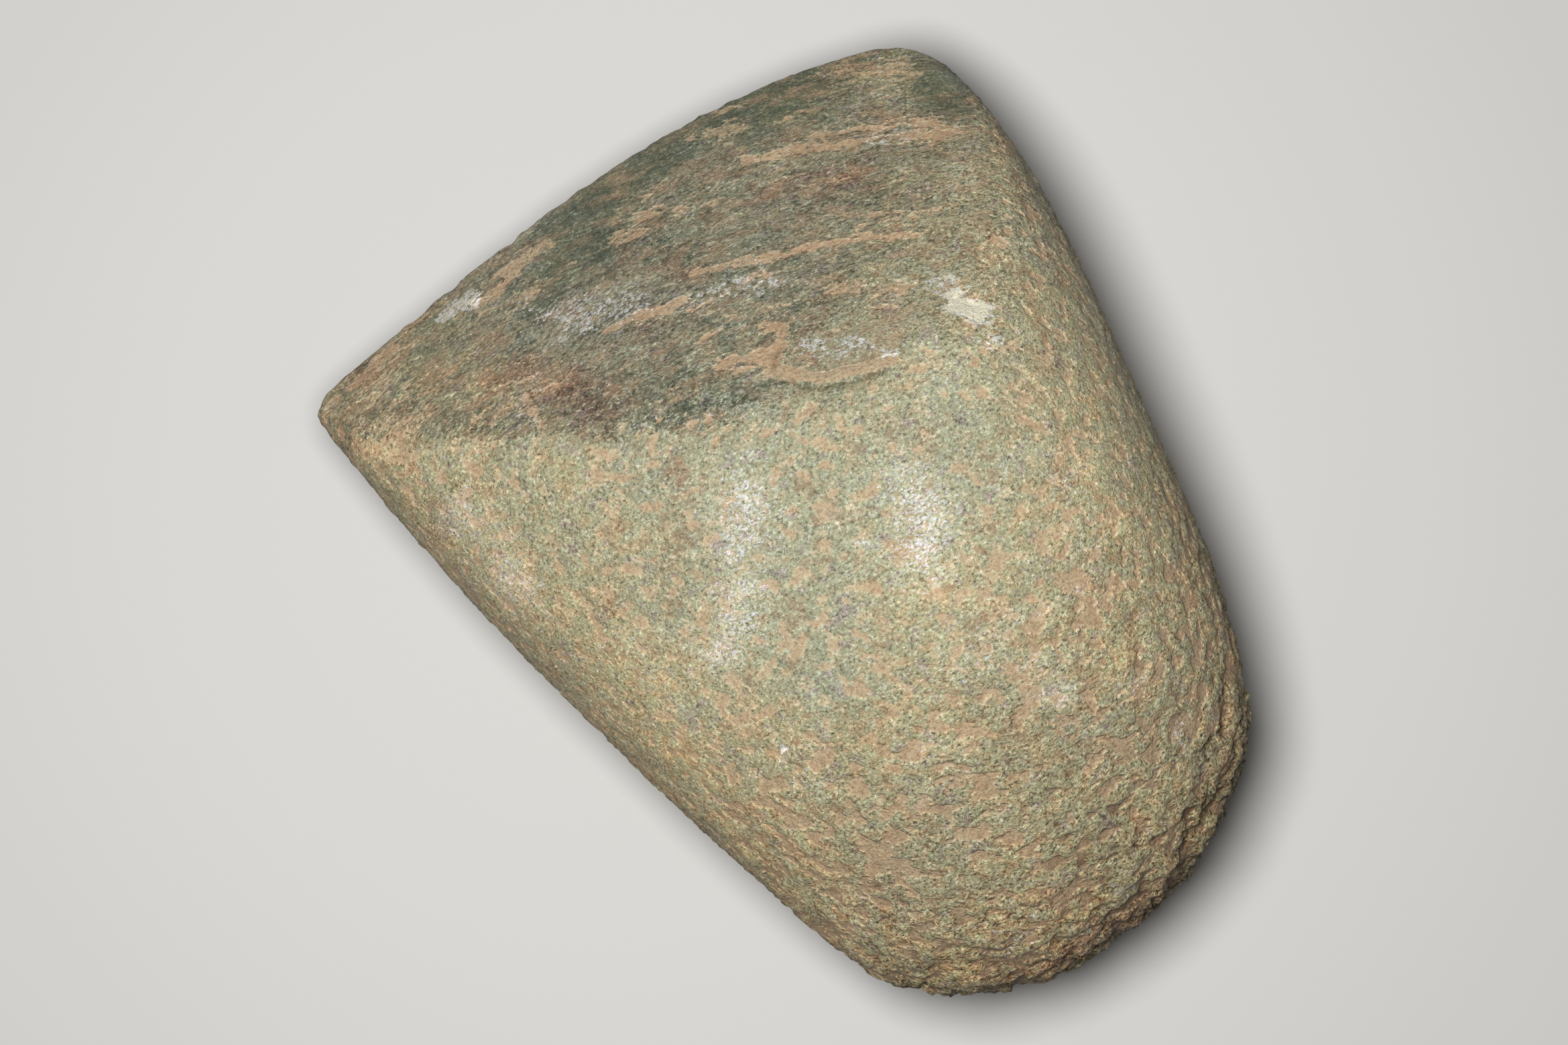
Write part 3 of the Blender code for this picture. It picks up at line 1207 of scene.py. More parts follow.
@dataclass(frozen=True)
class StoneFinish:
    """Granular green stone with cream, tan and rusty grains, and ochre soil in its hollows."""

    # Grains, from the darkest to the lightest, and what tints them.
    specks: Colour = (0.150, 0.135, 0.100)
    shade: Colour = (0.300, 0.275, 0.205)
    tan: Colour = (0.415, 0.385, 0.285)
    cream: Colour = (0.480, 0.450, 0.345)
    bright: Colour = (0.800, 0.790, 0.710)
    greenish: Colour = (0.918, 1.010, 0.875)
    yellowish: Colour = (1.010, 0.955, 0.800)
    lilac: Colour = (0.910, 0.850, 0.930)
    rusty: Colour = (0.300, 0.190, 0.115)
    # Age, as tints; painted shade in the finest hollows, browner where the relief is coarse; and painted
    # shade with darker cracks.
    aged: Colour = (1.510, 1.325, 1.065)
    aged_deep: Colour = (1.450, 0.900, 0.530)
    hollows: Colour = (0.620, 0.580, 0.520)
    hollow_shade_deep: Colour = (0.320, 0.200, 0.135)
    shade_and_grime: Colour = (0.350, 0.280, 0.220)
    # Ground stone, as tints.
    ground_dark: Colour = (0.345, 0.372, 0.372)
    ground: Colour = (0.825, 0.825, 0.835)
    ground_pale: Colour = (1.580, 1.560, 1.560)
    purple: Colour = (0.980, 0.790, 0.760)
    # Local stains, as tints, and the growth that covers the stone.
    rust_and_shade: Colour = (0.840, 0.590, 0.590)
    slate: Colour = (0.660, 0.740, 0.750)
    moss: Colour = (0.520, 0.660, 0.520)
    moss_flat: Colour = (0.125, 0.137, 0.095)
    # Soil, and what tints its grains.
    soil: Colour = (0.458, 0.346, 0.216)
    soil_deep: Colour = (0.470, 0.318, 0.188)
    soil_grains: Colour = (0.720, 0.690, 0.660)
    # Bare bruises and rubbed stone, and the painted glints: white highlights painted on worn grains.
    chalk: Colour = (0.830, 0.790, 0.620)
    rubbed: Colour = (0.800, 0.790, 0.760)
    painted_glint: Colour = (0.780, 0.780, 0.880)
    # Textures of the whole stone.
    grain: float = 0.21  # size of a mineral grain
    speck: float = 0.70  # size of the cells that a dark or rusty speck may stand in
    warp: float = 0.7  # size of the noise that bends the grains
    warp_by: float = 0.3  # how far it bends them
    fine: Cloud = Cloud(0.34, 4.0, 0.80, (1.0, 0.75, 1.0))
    middle: Cloud = Cloud(1.25, 2.0)
    broad: Cloud = Cloud(4.5, 3.0, 0.55)
    earth: Cloud = Cloud(1.6)
    sparks: Cloud = Cloud(0.25, 4.0, 0.8, (1.0, 0.55, 1.0))
    # Textures that run with the grinding or with the finer scratches.
    streaks: Cloud = Cloud(0.62, 5.0, 0.75, (1.0, 0.36, 0.6))
    crushed: Cloud = Cloud(0.36, 4.0, 0.78, (1.0, 0.36, 0.7))
    bands: Cloud = Cloud(4.2, drawn=(1.0, 0.42, 0.7))
    patches: Cloud = Cloud(3.0, drawn=(1.0, 0.42, 0.7))
    film: Cloud = Cloud(1.7, 4.0, 0.7, (1.0, 0.36, 0.7))
    strands: Cloud = Cloud(0.40, 4.0, 0.80, (1.0, 0.62, 0.8))
    # Where each shows: the value from which it starts and the value from which it is full.
    speck_middle: Pair = (0.24, 0.10)
    speck_choice: Pair = (0.66, 0.84)
    rusty_choice: Pair = (0.30, 0.22)
    rusty_clouds: Pair = (0.48, 0.60)
    ground_limit: Pair = (0.18, 0.82)
    purple_patches: Pair = (0.50, 0.68)
    stain_taken: Pair = (0.95, 0.45)
    film_patches: Pair = (0.46, 0.68)
    soil_limit: Pair = (-0.45, 1.15)
    soil_deeper: Pair = (0.35, 0.75)
    soil_darker: Pair = (0.62, 0.22)
    rubbed_limit: Pair = (0.0, 0.40)
    chalk_limit: Pair = (0.95, 1.25)
    bevel_glint_limit: Pair = (0.57, 0.72)
    painted_glint_limit: Pair = (0.0, 0.30)
    shine_limit: Pair = (0.30, 0.90)
    hollow_shade_limit: Pair = (0.44, 0.30)
    hollow_shade_deeper: Pair = (0.0, 1.6)
    # How far each covers or tints the stone where it is strongest.
    speck_share: float = 0.45
    purple_share: float = 0.75
    moss_share: float = 0.5
    film_share: float = 0.60
    soil_share: float = 0.88
    rubbed_share: float = 0.9
    bevel_glint_share: float = 0.36
    painted_glint_share: float = 0.78
    shade_and_grime_share: float = 0.75
    # Roughness and relief.
    body_rough: Pair = (0.72, 0.5)  # for its dullest grains and its glossiest ones
    bevel_rough: Pair = (0.38, 0.62)  # from the darkest streaks to the palest
    soil_rough: float = 0.78
    rubbed_rough: float = 0.55
    glint_rough: float = 0.62
    specular: float = 0.5
    relief_depth: float = 0.46  # what a height of 1 stands for, in millimetres

    def material(self) -> bpy.types.Material:
        """The finished material."""
        return StoneBench(self).dressed()


class StoneBench(Bench):
    """Lays out the worked stone's nodes, from the mesh's layers and from textures."""

    def __init__(self, finish: StoneFinish) -> None:
        """Lays out the layers and textures that the colour, the gloss and the fine relief share.

        Args:
            finish: The stone's colours, textures and gloss.
        """
        super().__init__("worked_stone")
        self.finish = finish
        self.at = self.place()
        self.flow = self.layer(Layer.FLOW, vector=True)
        self.hatch = self.layer(Layer.HATCH, vector=True)
        self.bevel = self.layer(Layer.BEVEL)
        self.ground = self.layer(Layer.GROUND)
        self.coarse = self.layer(Layer.COARSE)
        self.aged = self.layer(Layer.AGED)
        self.soil = self.layer(Mark.SOIL)
        self.chalk = self.layer(Mark.CHALK)
        self.moss = self.layer(Mark.MOSS)
        self.burnish_and_glint = self.layer(Mark.BURNISH)
        self.warp = self.warped(self.stretched(self.at, finish.fine.drawn), finish.warp, finish.warp_by)
        self.near, self.mineral = self.grains(self.warp, finish.grain)
        self.fine = self.noise(self.at, finish.fine)
        self.middle = self.noise(self.warp, finish.middle)
        self.broad = self.noise(self.at, finish.broad)
        self.streaks = self.noise(self.flow, finish.streaks)
        self.crushed = self.noise(self.hatch, finish.crushed)
        sharp = self.product(self.centred(self.fine, 2.2), self.scaled(self.coarse, 0.26, 1.0))
        self.granular = self.sum(self.scaled(self.mineral, 0.42, 0.29), sharp)

    def pecked(self) -> Socket:
        """Colours the pecked stone, with dark and rusty specks among its grains.

        Returns:
            The colour.
        """
        look = self.finish
        grains = (
            (0.04, look.specks),
            (0.24, look.shade),
            (0.44, look.tan),
            (0.64, look.cream),
            (0.98, look.bright),
        )
        tints = ((0.22, look.lilac), (0.34, look.greenish), (0.48, look.greenish), (0.64, look.yellowish))
        hue = self.sum(
            self.scaled(self.middle, 1.5, -0.25),
            self.centred(self.broad, 0.7),
            self.centred(self.mineral, 0.24),
        )
        stone = self.tinted(1.0, self.ramp(self.granular, grains), self.ramp(hue, tints))
        near, value = self.grains(self.warp, look.speck)
        dark = self.product(self.turned(near, *look.speck_middle), self.turned(value, *look.speck_choice))
        stone = self.mixed(self.product(dark, look.speck_share), stone, look.specks)
        clouds = self.turned(self.broad, *look.rusty_clouds)
        rusty = self.product(self.turned(value, *look.rusty_choice), clouds)
        return self.mixed(self.product(rusty, look.speck_share), stone, look.rusty)

    def browned(self, stone: Socket) -> Socket:
        """Browns the stone where it has aged, most in its hollows.

        Args:
            stone: Its colour so far.

        Returns:
            The colour.
        """
        deep = self.sum(
            self.scaled(self.middle, 1.8, -0.62),
            self.product(self.soil, 0.20),
            self.centred(self.fine, -1.6),
        )
        return self.tinted(self.aged, stone, self.mixed(deep, self.finish.aged, self.finish.aged_deep))

    def ground_down(self, stone: Socket) -> Socket:
        """Darkens the ground stone, with pale streaks, crushed grains and purple patches in it.

        Args:
            stone: Its colour so far.

        Returns:
            The colour.
        """
        look = self.finish
        tones = ((0.28, look.ground_dark), (0.46, look.ground), (0.58, look.ground), (0.84, look.ground_pale))
        lines = self.scaled(self.sum(self.streaks, self.crushed), 1.35, -0.85)
        bands = self.centred(self.noise(self.flow, look.bands), 0.8)
        patches = self.turned(self.noise(self.flow, look.patches), *look.purple_patches)
        patches = self.product(patches, look.purple_share)
        ground = self.tinted(patches, self.ramp(self.sum(lines, bands), tones), look.purple)
        worn = self.sum(self.ground, self.centred(self.streaks, 1.5), self.centred(self.granular, -1.0))
        stone = self.tinted(self.turned(worn, *look.ground_limit), stone, ground)
        return self.tinted(self.aged, stone, self.scaled(self.broad, 1.1, 0.45))

    def stained(self, stone: Socket) -> Socket:
        """Adds the rust, slate and moss stains, which take to the darker grains first; at the butt's end the
        rust also paints shade on the end facet.

        Args:
            stone: Its colour so far.

        Returns:
            The colour.
        """
        look = self.finish
        grains = self.sum(self.granular, self.centred(self.streaks, 0.6))
        taken = self.turned(grains, *look.stain_taken)
        stains = (
            (self.layer(Mark.RUST), look.rust_and_shade),
            (self.layer(Mark.SLATE), look.slate),
            (self.moss, look.moss),
        )
        for cover, tint in stains:
            stone = self.tinted(self.product(cover, taken), stone, tint)
        return self.mixed(self.product(self.moss, look.moss_share), stone, look.moss_flat)

    def soil_cover(self) -> Socket:
        """Finds how far soil covers the stone, in its hollows and as a thin film on the bevels.

        Returns:
            Values from 0 to 1.
        """
        look = self.finish
        film = self.turned(self.noise(self.flow, look.film), *look.film_patches)
        film = self.product(film, self.product(self.bevel, look.film_share))
        edge = self.sum(
            self.soil,
            self.centred(self.fine, 2.0),
            self.product(self.burnish_and_glint, -0.5),
            self.product(self.centred(self.streaks, 2.6), self.bevel),
        )
        return self.larger(self.product(self.turned(edge, *look.soil_limit), look.soil_share), film)

    def soiled(self, stone: Socket, cover: Socket) -> Socket:
        """Lays soil over the stone, deeper in colour where the stone is old or ground.

        Args:
            stone: Its colour so far.
            cover: How far soil covers it.

        Returns:
            The colour.
        """
        look = self.finish
        older = self.scaled(self.sum(self.aged, self.ground), 0.7, -0.3)
        depth = self.sum(self.turned(self.noise(self.at, look.earth), *look.soil_deeper), older)
        earth = self.mixed(depth, look.soil, look.soil_deep)
        earth = self.tinted(self.turned(self.granular, *look.soil_darker), earth, look.soil_grains)
        return self.mixed(cover, stone, earth)

    def rubbed_cover(self) -> Socket:
        """Finds how far the stone is rubbed bare, in strands along the finer scratches.

        Returns:
            Values from 0 to 1.
        """
        strands = self.centred(self.noise(self.hatch, self.finish.strands), 4.0)
        bare = self.sum(strands, self.scaled(self.chalk, 1.1, -0.85))
        return self.turned(bare, *self.finish.rubbed_limit)

    def painted_glints(self) -> Socket:
        """Finds where highlights are painted: white glints on worn grains, most where they are burnished, and
        among the crushed grains on the bevels.

        Returns:
            Values from 0 to 1.
        """
        look = self.finish
        # White glints painted on worn grains, more where they are burnished and where the relief is coarse.
        worn = self.sum(
            self.centred(self.noise(self.warp, look.sparks), 3.0),
            self.scaled(self.burnish_and_glint, 0.52, -0.42),
            self.product(self.coarse, 0.035),
        )
        # Painted highlights among the crushed grains on the bevels.
        bevel_glints = self.turned(self.crushed, *look.bevel_glint_limit)
        bevel_glints = self.product(bevel_glints, self.product(self.bevel, look.bevel_glint_share))
        return self.larger(self.turned(worn, *look.painted_glint_limit), bevel_glints)

    def shaded_and_grimed(self, stone: Socket, cover: Socket) -> Socket:
        """Paints shade into the finest hollows, and lays on the painted shade and darker cracks that the mesh
        carries.

        Args:
            stone: Its colour so far.
            cover: How far soil covers it, which hides the hollows.

        Returns:
            The colour.
        """
        look = self.finish
        # Painted shade: the lows of the fine relief are darkened, browner and darker where the relief is
        # coarse.
        low = self.sum(self.fine, self.product(self.coarse, -0.03))
        hollow = self.turned(low, *look.hollow_shade_limit)
        hollow = self.product(hollow, self.mapped(cover, 0.85, 0.25))
        deeper = self.turned(self.coarse, *look.hollow_shade_deeper)
        hollow_shade_tint = self.mixed(deeper, look.hollows, look.hollow_shade_deep)
        stone = self.tinted(hollow, stone, hollow_shade_tint)
        # Painted shade, and darker cracks, from the mesh's layer.
        return self.tinted(self.product(self.layer(Layer.GRIME), look.shade_and_grime_share), stone, look.shade_and_grime)

    def gloss(self, cover: Socket, rubbed: Socket, painted_glints: Socket) -> Socket:
        """Sets how rough the surface is to the light.

        Args:
            cover: How far soil covers the stone.
            rubbed: How far it is rubbed bare.
            painted_glints: How far white highlights are painted on its grains.

        Returns:
            The roughness.
        """
        look = self.finish
        shine = self.turned(self.mineral, *look.shine_limit)
        burnish_and_glint = self.product(self.burnish_and_glint, self.mapped(shine, 0.5, 1.0))
        body = self.sum(self.mapped(shine, *look.body_rough), self.product(burnish_and_glint, -0.08))
        bevels = self.sum(self.mapped(self.streaks, *look.bevel_rough), self.product(shine, -0.08))
        rough = self.between(self.bevel, body, bevels)
        rough = self.between(cover, rough, look.soil_rough)
        rough = self.between(rubbed, rough, look.rubbed_rough)
        return self.between(painted_glints, rough, look.glint_rough)

    def relief(self, cover: Socket) -> Socket:
        """Raises the single grains and streaks, softer under soil and where they are worn.

        Args:
            cover: How far soil covers the stone.

        Returns:
            The way that the surface faces.
        """
        height = self.product(
            self.sum(self.product(self.near, -0.25), self.product(self.fine, 1.6)),
            self.mapped(cover, 1.0, 0.35),
            self.mapped(self.bevel, 1.0, 1.3),
            self.mapped(self.burnish_and_glint, 1.0, 0.4),
        )
        height = self.sum(height, self.product(self.centred(self.middle, 1.0), self.coarse))
        height = self.product(height, self.scaled(self.coarse, 0.7, 1.1))
        bump = self.add("Bump")
        bump.inputs["Distance"].default_value = self.finish.relief_depth * MM
        self.feed(bump.inputs["Height"], self.sum(height, self.product(self.streaks, self.bevel, 0.7)))
        return bump.outputs[0]

    def dressed(self) -> bpy.types.Material:
        """Brings the stone's colours, gloss and fine relief together.

        Returns:
            The finished material.
        """
        look = self.finish
        cover, rubbed, painted_glints = self.soil_cover(), self.rubbed_cover(), self.painted_glints()
        colour = self.ground_down(self.browned(self.pecked()))
        colour = self.soiled(self.stained(colour), cover)
        bare = self.mixed(self.turned(self.chalk, *look.chalk_limit), look.rubbed, look.chalk)
        colour = self.mixed(self.product(rubbed, look.rubbed_share), colour, bare)
        # Painted highlights: white glints are laid over the colour.
        colour = self.mixed(self.product(painted_glints, look.painted_glint_share), colour, look.painted_glint)
        colour = self.shaded_and_grimed(colour, cover)
        return self.finished(colour, self.gloss(cover, rubbed, painted_glints), self.relief(cover), look.specular)


@dataclass(frozen=True)
class Skin:
    """The smoothed blank's points, and what is read off them before they are worked."""

    at: Array
    normal: Array
    plain: Array  # the directions evened out more widely
    away: Array  # the distance from the cutting edge
    bevel: Array
    butt: Array
    flow: Array
    grain: Array  # the points, drawn together along the stone's grain
    strokes: Array  # how far strokes of soil cover them
    damage: Array


@dataclass
class AxeHead:
    """The whole stone, worked over its plain solid."""

    welded: float = 0.001  # how near the solid's points are joined
    cell: float = 0.565  # spacing of the mesh's points
    evened: int = 70  # rounds of smoothing, which take the solid's flat faces away
    normal_evened: int = 12  # the same for the directions that points face
    plain_evened: int = 60
    hollow_evened: int = 6  # the same for the surface that hollows are measured from
    edge_kept: float = 2.0  # how near the cutting edge the form is kept sharp
    edge_eased: float = 5.5  # and from where it is smoothed in full
    girdle: float = 27.4  # height of the cutting edge
    top: float = 59.0  # height of the whole stone
    slice_reach: float = 45.0  # the edge is found slice by slice, out to here
    slice_step: float = 1.5
    slice_half: float = 2.2  # half a slice's width
    slice_empty: float = -60.0  # where the edge stands in a slice without any stone
    skin_spare: float = 0.12  # how far the relief's middle lies inside the solid
    butt_spare: float = 0.02  # and how much more at the butt
    skin_proud: float = 0.08  # how far the relief may stand out from the smoothed form
    butt_proud: float = 0.36  # and how much more at the butt
    keen: Pair = (2.2, 0.3)  # how near the edge the relief starts to fade, and where it has
    keen_fade: float = 0.7
    stroke_fill: float = 0.10  # how thick soil lies in the strokes on the bevels
    soil_skin: float = 0.07  # depth of soil that hides the stone
    soil_sag: float = 0.15  # how far soil sinks in a hollow, as a share of its depth
    soil_limit: float = 1.5  # the deepest soil that is told apart, in skins
    stroke_soil: float = 3.2  # how deep soil lies in a full stroke, in skins
    stroke_bare: float = 1.2  # and how much of that its rim lacks
    stroke_uneven: float = 0.2  # how far the hollows show through it
    # Where the painted shade and the darker cracks show: the depth of shaded hollows and of cracks, the
    # shaded left flank, and how steep a shaded face is.
    shade_hollow: Pair = (0.05, 0.22)
    crack_dark: Pair = (0.62, 0.8)
    shade_side: Fade = Fade(0.7, 22.0, 36.0)
    shade_steep: Fade = Fade(0.60, 0.90, 0.20)
    grain_drawn: Triple = (1.0, 2.4, 1.2)  # how much longer the stone's grain is along each axis
    sheet_spread: float = 6.0  # how far the sheet is spread out at the top and the bottom
    sheet_spread_more: float = 15.0  # and how much more for each drop below or above them
    sheet_drop: float = 30.0  # the height of one drop
    sheet_top: float = 0.61  # share of the sheet that the upper half takes
    sheet_margin: float = 0.005
    body: PeckedBody = field(default_factory=PeckedBody)
    bevels: GroundBevels = field(default_factory=GroundBevels)
    damage: OldDamage = field(default_factory=OldDamage)
    stains: Stains = field(default_factory=Stains)
    finish: StoneFinish = field(default_factory=StoneFinish)

    def blank(self, solid: bpy.types.Object) -> bpy.types.Object:
        """Cuts an evenly fine mesh to the solid's form.

        Args:
            solid: The plain solid.

        Returns:
            A new object.
        """
        blank = bpy.data.objects.new("stone_axe_head", solid.data.copy())
        bpy.context.scene.collection.objects.link(blank)
        weld = blank.modifiers.new("weld", "WELD")
        weld.merge_threshold = self.welded * MM
        remesh = blank.modifiers.new("remesh", "REMESH")
        remesh.mode, remesh.voxel_size = "VOXEL", self.cell * MM
        evaluated = blank.evaluated_get(bpy.context.evaluated_depsgraph_get())
        mesh = bpy.data.meshes.new_from_object(evaluated)
        blank.modifiers.clear()
        blank.data = mesh
        mesh.materials.clear()
        return blank

    def edge_distance(self, at: Array, solid: Array) -> Array:
        """How far points are from the cutting edge.

        Args:
            at: Points in millimetres.
            solid: The plain solid's own points.

        Returns:
            Distances in millimetres, level with the edge and above or below it.
        """
        rows = np.arange(-self.slice_reach, self.slice_reach, self.slice_step)
        slices = [solid[np.abs(solid[:, 1] - y) < self.slice_half] for y in rows]
        front = np.array([cut[:, 0].max(initial=self.slice_empty) for cut in slices])
        back = np.interp(at[:, 1], rows, front) - at[:, 0]
        return np.hypot(np.maximum(back, 0), at[:, 2] - self.girdle)

    def smooth(self, surface: Surface, solid: Array) -> Skin:
        """Smooths the blank, except along the cutting edge, and reads off what the work goes by.

        Args:
            surface: The blank's surface, which is changed.
            solid: The plain solid's own points, in millimetres.

        Returns:
            The skin.
        """
        away = self.edge_distance(surface.points, solid)
        ease = turn(self.edge_kept, self.edge_eased, away)
        at = surface.smoothed(surface.points, self.evened, 0.5 * ease)
        surface.points = at
        normal = surface.normals(self.normal_evened)
        flow = self.bevels.flow(at)
        grain = flow / self.grain_drawn
        return Skin(
            at=at,
            normal=normal,
            plain=surface.normals(self.plain_evened),
            away=away,
            bevel=self.bevels.cover(at, normal),
            butt=self.body.butt(at),
            flow=flow,
            grain=grain,
            strokes=self.stains.cover(Mark.SOIL, at, grain, normal),
            damage=self.damage.height(at, normal),
        )

    def sink(self, surface: Surface, skin: Skin) -> Array:
        """Moves the points into the worked relief, with soil lying level in its hollows.

        Args:
            surface: The smoothed surface, which is changed.
            skin: What was read off it.

        Returns:
            How deep soil lies on each point, 0 where it just covers the stone and above 1 where
            it hides it.
        """
        at, normal, bevel = skin.at, skin.normal, skin.bevel
        rise = (1 - bevel) * self.body.height(at, normal) + bevel * self.bevels.height(at)
        fill = (1 - bevel) * self.body.soil_height(at, normal) + bevel * self.bevels.soil_height(at)
        depth = fill - rise
        filled = np.where(depth > 0, fill - self.soil_sag * depth, rise)
        spare = self.skin_spare + self.butt_spare * skin.butt
        sunk = spare - filled - skin.damage - self.stroke_fill * skin.strokes * bevel
        keen = turn(*self.keen, skin.away)
        sunk = np.maximum(sunk, -self.skin_proud - self.butt_proud * skin.butt) * (1 - self.keen_fade * keen)
        surface.points = at - normal * sunk[:, None]
        surface.points[:, 0] -= keen * self.damage.nicks(at)
        low, high = (np.array(corner) / MM for corner in CAD_BOX)
        surface.points = np.clip(surface.points, low, high)
        soil = np.clip(depth / self.soil_skin, -self.soil_limit, self.soil_limit)
        stroked = self.stroke_soil * skin.strokes - self.stroke_bare + self.stroke_uneven * soil
        return np.maximum(soil, stroked)

    def shade_and_grime(self, surface: Surface, skin: Skin) -> Array:
        """How far shade is painted in sharp hollows and down the steep sides of the butt and the left flank,
        and how far cracks are darkened.

        Args:
            surface: The worked surface.
            skin: What was read off it before.

        Returns:
            Values from 0 to 1.
        """
        hollow = surface.smoothed(surface.points, self.hollow_evened) - surface.points
        # Painted shade in the surface's hollows, and on the steep faces of the butt and the left flank.
        sharp = turn(*self.shade_hollow, (hollow * skin.normal).sum(axis=1))
        cracks = turn(*self.crack_dark, -skin.damage) * (1 - skin.strokes)
        sides = np.maximum(skin.butt, self.shade_side.over(skin.at[:, 1]) * (1 - skin.bevel))
        steep = self.shade_steep.over(skin.normal[:, 2])
        return np.clip(sharp + cracks + steep * sides, 0, 1)

    def marks(self, skin: Skin) -> dict[Mark, Array]:
        """Joins the local marks to the ones that are scattered over the whole stone.

        Args:
            skin: What was read off the surface.

        Returns:
            How much of each mark each point carries.
        """
        at, under = skin.at, skin.bevel * turn(0.1, -0.1, skin.normal[:, 2])
        scattered = {
            Mark.CHALK: 0.55 * self.stains.scattered(skin.flow / (1, 2, 1), 5.0, 0.45),
            Mark.SLATE: 0.6 * under * self.stains.scattered(at, 9.0, 0.15),
            Mark.RUST: 0.5 * self.stains.scattered(at, 8.0, 0.42),
            Mark.MOSS: 0.8 * under * turn(7.0, 2.0, skin.away),
            # Scattered burnish, which also carries painted glints.
            Mark.BURNISH: 0.4 * self.stains.scattered(at, 10.0, 0.2),
        }
        return {
            mark: np.maximum(self.stains.cover(mark, at, skin.grain, skin.normal), spots)
            for mark, spots in scattered.items()
        }

    def flatten(self, mesh: bpy.types.Mesh, skin: Skin) -> None:
        """Lays the upper and lower halves out side by side on one sheet.

        Args:
            mesh: The mesh to lay out.
            skin: Its points before they were worked.
        """
        corner = np.empty(len(mesh.loops), np.int32)
        mesh.loops.foreach_get("vertex_index", corner)
        starts = np.empty(len(mesh.polygons), np.int32)
        mesh.polygons.foreach_get("loop_start", starts)
        sizes = np.diff(np.append(starts, len(corner)))
        at, plain = skin.at[corner], skin.plain[corner]
        middle = np.add.reduceat(at[:, 2], starts) / sizes
        upper = np.repeat(middle > self.girdle, sizes)
        drop = np.where(upper, self.top - at[:, 2], at[:, 2]) / self.sheet_drop
        reach = self.sheet_spread + self.sheet_spread_more * drop
        spread = at[:, :2] + plain[:, :2] * reach[:, None]
        low, high = spread.min(axis=0), spread.max(axis=0)
        share = (spread - low) / (high - low)
        margin = self.sheet_margin
        start = np.where(upper, margin, self.sheet_top + 3 * margin)
        width = np.where(upper, self.sheet_top, 1 - 4 * margin - self.sheet_top) - 2 * margin
        sheet = np.stack([start + share[:, 1] * width, margin + share[:, 0] * (1 - 2 * margin)], axis=1)
        for layer in list(mesh.uv_layers):
            mesh.uv_layers.remove(layer)
        mesh.uv_layers.new(name="OFBake").data.foreach_set("uv", sheet.ravel())

    def store(self, mesh: bpy.types.Mesh, layers: dict[Mark | Layer, Array]) -> None:
        """Writes the layers that the finish reads into the mesh.

        Args:
            mesh: The stone's mesh.
            layers: Numbers or places for its points.
        """
        for name, values in layers.items():
            kind, key = ("FLOAT_VECTOR", "vector") if values.ndim == 2 else ("FLOAT", "value")
            layer = mesh.attributes.new(name.value, kind, "POINT")
            layer.data.foreach_set(key, values.astype(np.float32).ravel())

    def build(self, solid: bpy.types.Object) -> bpy.types.Object:
        """Makes the stone.

        Args:
            solid: The plain solid that it stands for.

        Returns:
            The finished piece.
        """
        head = self.blank(solid)
        mesh = head.data
        surface = Surface.of(mesh)
        skin = self.smooth(surface, Surface.of(solid.data).points)
        soil = self.sink(surface, skin)
        layers = {
            **self.marks(skin),
            Mark.SOIL: soil,
            Layer.BEVEL: skin.bevel,
            # Ground stone, and the painted shade on the shoulder.
            Layer.GROUND: self.bevels.darkened(skin.at, skin.plain),
            Layer.AGED: self.stains.aged(skin.at, skin.normal),
            Layer.COARSE: (self.body.coarse(skin.at, skin.normal) - 1.0) * (1 - skin.bevel),
            Layer.GRIME: self.shade_and_grime(surface, skin),
            Layer.FLOW: skin.flow,
            Layer.HATCH: self.bevels.hatch(skin.at),
        }
        mesh.vertices.foreach_set("co", (surface.points * MM).ravel())
        self.flatten(mesh, skin)
        self.store(mesh, layers)
        mesh.polygons.foreach_set("use_smooth", [True] * len(mesh.polygons))
        mesh.update()
        mesh.materials.append(self.finish.material())
        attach(head, "root")
        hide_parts(solid.name)
        mesh.calc_loop_triangles()
        log.info("%s: %d triangles", head.name, len(mesh.loop_triangles))
        return head


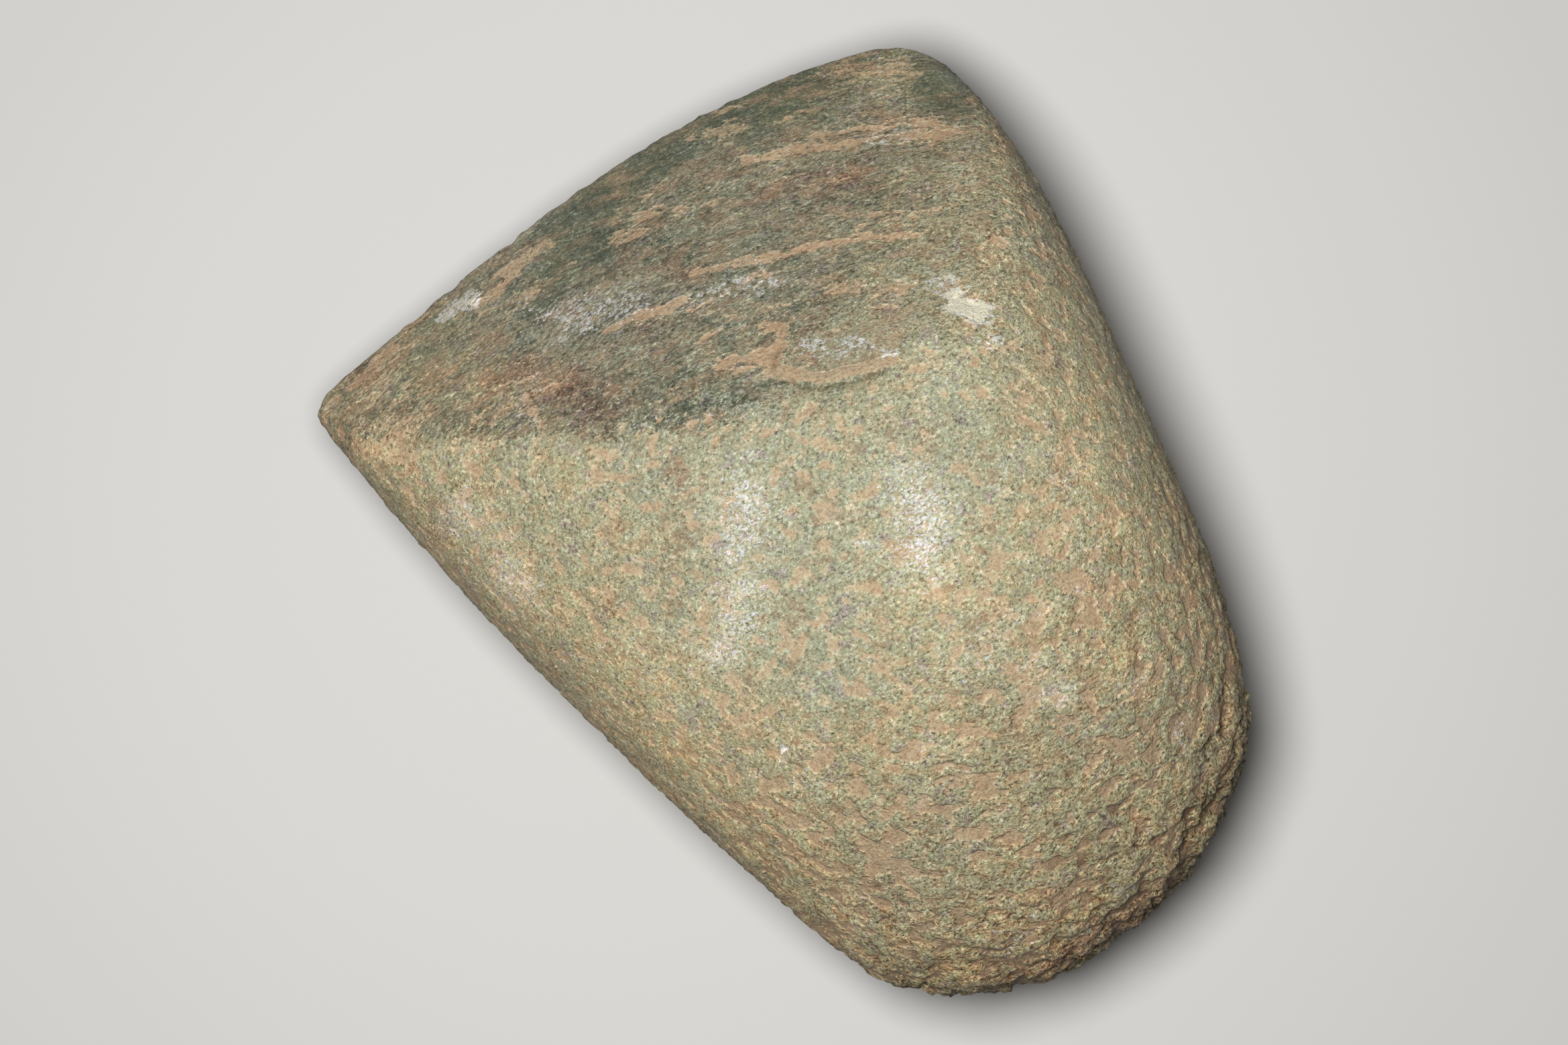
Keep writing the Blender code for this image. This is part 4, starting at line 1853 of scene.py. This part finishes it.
@dataclass
class Studio:
    """A pale floor, one soft lamp near the camera, and the camera over the lying stone."""

    # The camera's own right, up and back.
    right: Vector = field(default_factory=lambda: Vector((-0.581, -0.814, 0.0)).normalized())
    up: Vector = field(default_factory=lambda: Vector((0.814, -0.581, 0.0)).normalized())
    back: Vector = field(default_factory=lambda: Vector((0.0, 0.0, 1.0)))
    # Sizes in metres.
    middle: float = 0.0276  # height of the stone's middle
    distance: float = 0.45  # from there to the camera
    view_width: float = 0.1776  # what the camera takes in at that height
    aim_right: float = -0.008675  # how far the camera stands to the side of the origin
    aim_up: float = 0.003941
    film_width: float = 36.0  # in millimetres, as the lens's length is
    near_limit: float = 0.01
    lamp_right: float = -0.105  # the lamp's direction, for each metre above the stone
    lamp_up: float = 0.040
    lamp_distance: float = 0.34
    lamp_size: float = 0.09
    lamp_power: float = 1.50
    fill: float = 0.085
    floor_reach: float = 3.0
    floor_colour: Colour = (0.60, 0.59, 0.57)
    floor_rough: float = 0.9
    floor_specular: float = 0.2

    def camera(self) -> bpy.types.Object:
        """Sets the camera square over the stone, turned as the stone lies.

        Returns:
            The camera.
        """
        lens = bpy.data.cameras.new("camera")
        lens.sensor_width = self.film_width
        lens.lens = self.film_width * self.distance / self.view_width
        lens.clip_start = self.near_limit
        camera = bpy.data.objects.new("camera", lens)
        bpy.context.scene.collection.objects.link(camera)
        stand = Matrix((self.right, self.up, self.back)).transposed().to_4x4()
        aim = self.right * self.aim_right + self.up * self.aim_up
        stand.translation = aim + self.back * (self.middle + self.distance)
        camera.matrix_world = stand
        bpy.context.scene.camera = camera
        return camera

    def lamp(self) -> bpy.types.Object:
        """Hangs a round lamp that faces the stone.

        Returns:
            The lamp.
        """
        glow = bpy.data.lights.new("key", "AREA")
        glow.shape, glow.size, glow.energy = "DISK", self.lamp_size, self.lamp_power
        lamp = bpy.data.objects.new("key", glow)
        bpy.context.scene.collection.objects.link(lamp)
        toward = self.right * self.lamp_right + self.up * self.lamp_up + self.back
        lamp.location = toward.normalized() * self.lamp_distance + self.back * self.middle
        lamp.rotation_euler = (-toward).to_track_quat("-Z", "Y").to_euler()
        lamp.visible_camera = False
        return lamp

    def floor(self) -> bpy.types.Object:
        """Lays the pale floor.

        Returns:
            The floor.
        """
        far = self.floor_reach
        mesh = bpy.data.meshes.new("floor")
        mesh.from_pydata([(-far, -far, 0), (far, -far, 0), (far, far, 0), (-far, far, 0)], [], [(0, 1, 2, 3)])
        floor = bpy.data.objects.new("floor", mesh)
        bpy.context.scene.collection.objects.link(floor)
        bench = Bench("pale_floor")
        shader = bench.add("BsdfPrincipled")
        bench.feed(shader.inputs["Base Color"], self.floor_colour)
        shader.inputs["Roughness"].default_value = self.floor_rough
        shader.inputs["Specular IOR Level"].default_value = self.floor_specular
        bench.feed(bench.add("OutputMaterial").inputs["Surface"], shader.outputs[0])
        mesh.materials.append(bench.material)
        return floor

    def surroundings(self) -> bpy.types.World:
        """Fills the shadows with even, weak light from all round.

        Returns:
            The surroundings.
        """
        world = bpy.data.worlds.new("studio")
        bpy.context.scene.world = world
        world.use_nodes = True
        background = world.node_tree.nodes["Background"]
        background.inputs["Color"].default_value = (1.0, 1.0, 1.0, 1.0)
        background.inputs["Strength"].default_value = self.fill
        return world

    def build(self) -> None:
        """Sets up the camera, the floor, the lamp and the fill, and shows colours as they are."""
        self.camera()
        self.floor()
        self.lamp()
        self.surroundings()
        bpy.context.scene.view_settings.view_transform = "Standard"


def main() -> None:
    """Builds the studio and the stone."""
    logging.basicConfig(level=logging.INFO, format="%(name)s: %(message)s")
    Studio().build()
    log.info("studio: floor, lamp and camera")
    AxeHead().build(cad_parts["axe_head"])


if __name__ == "__main__":
    main()
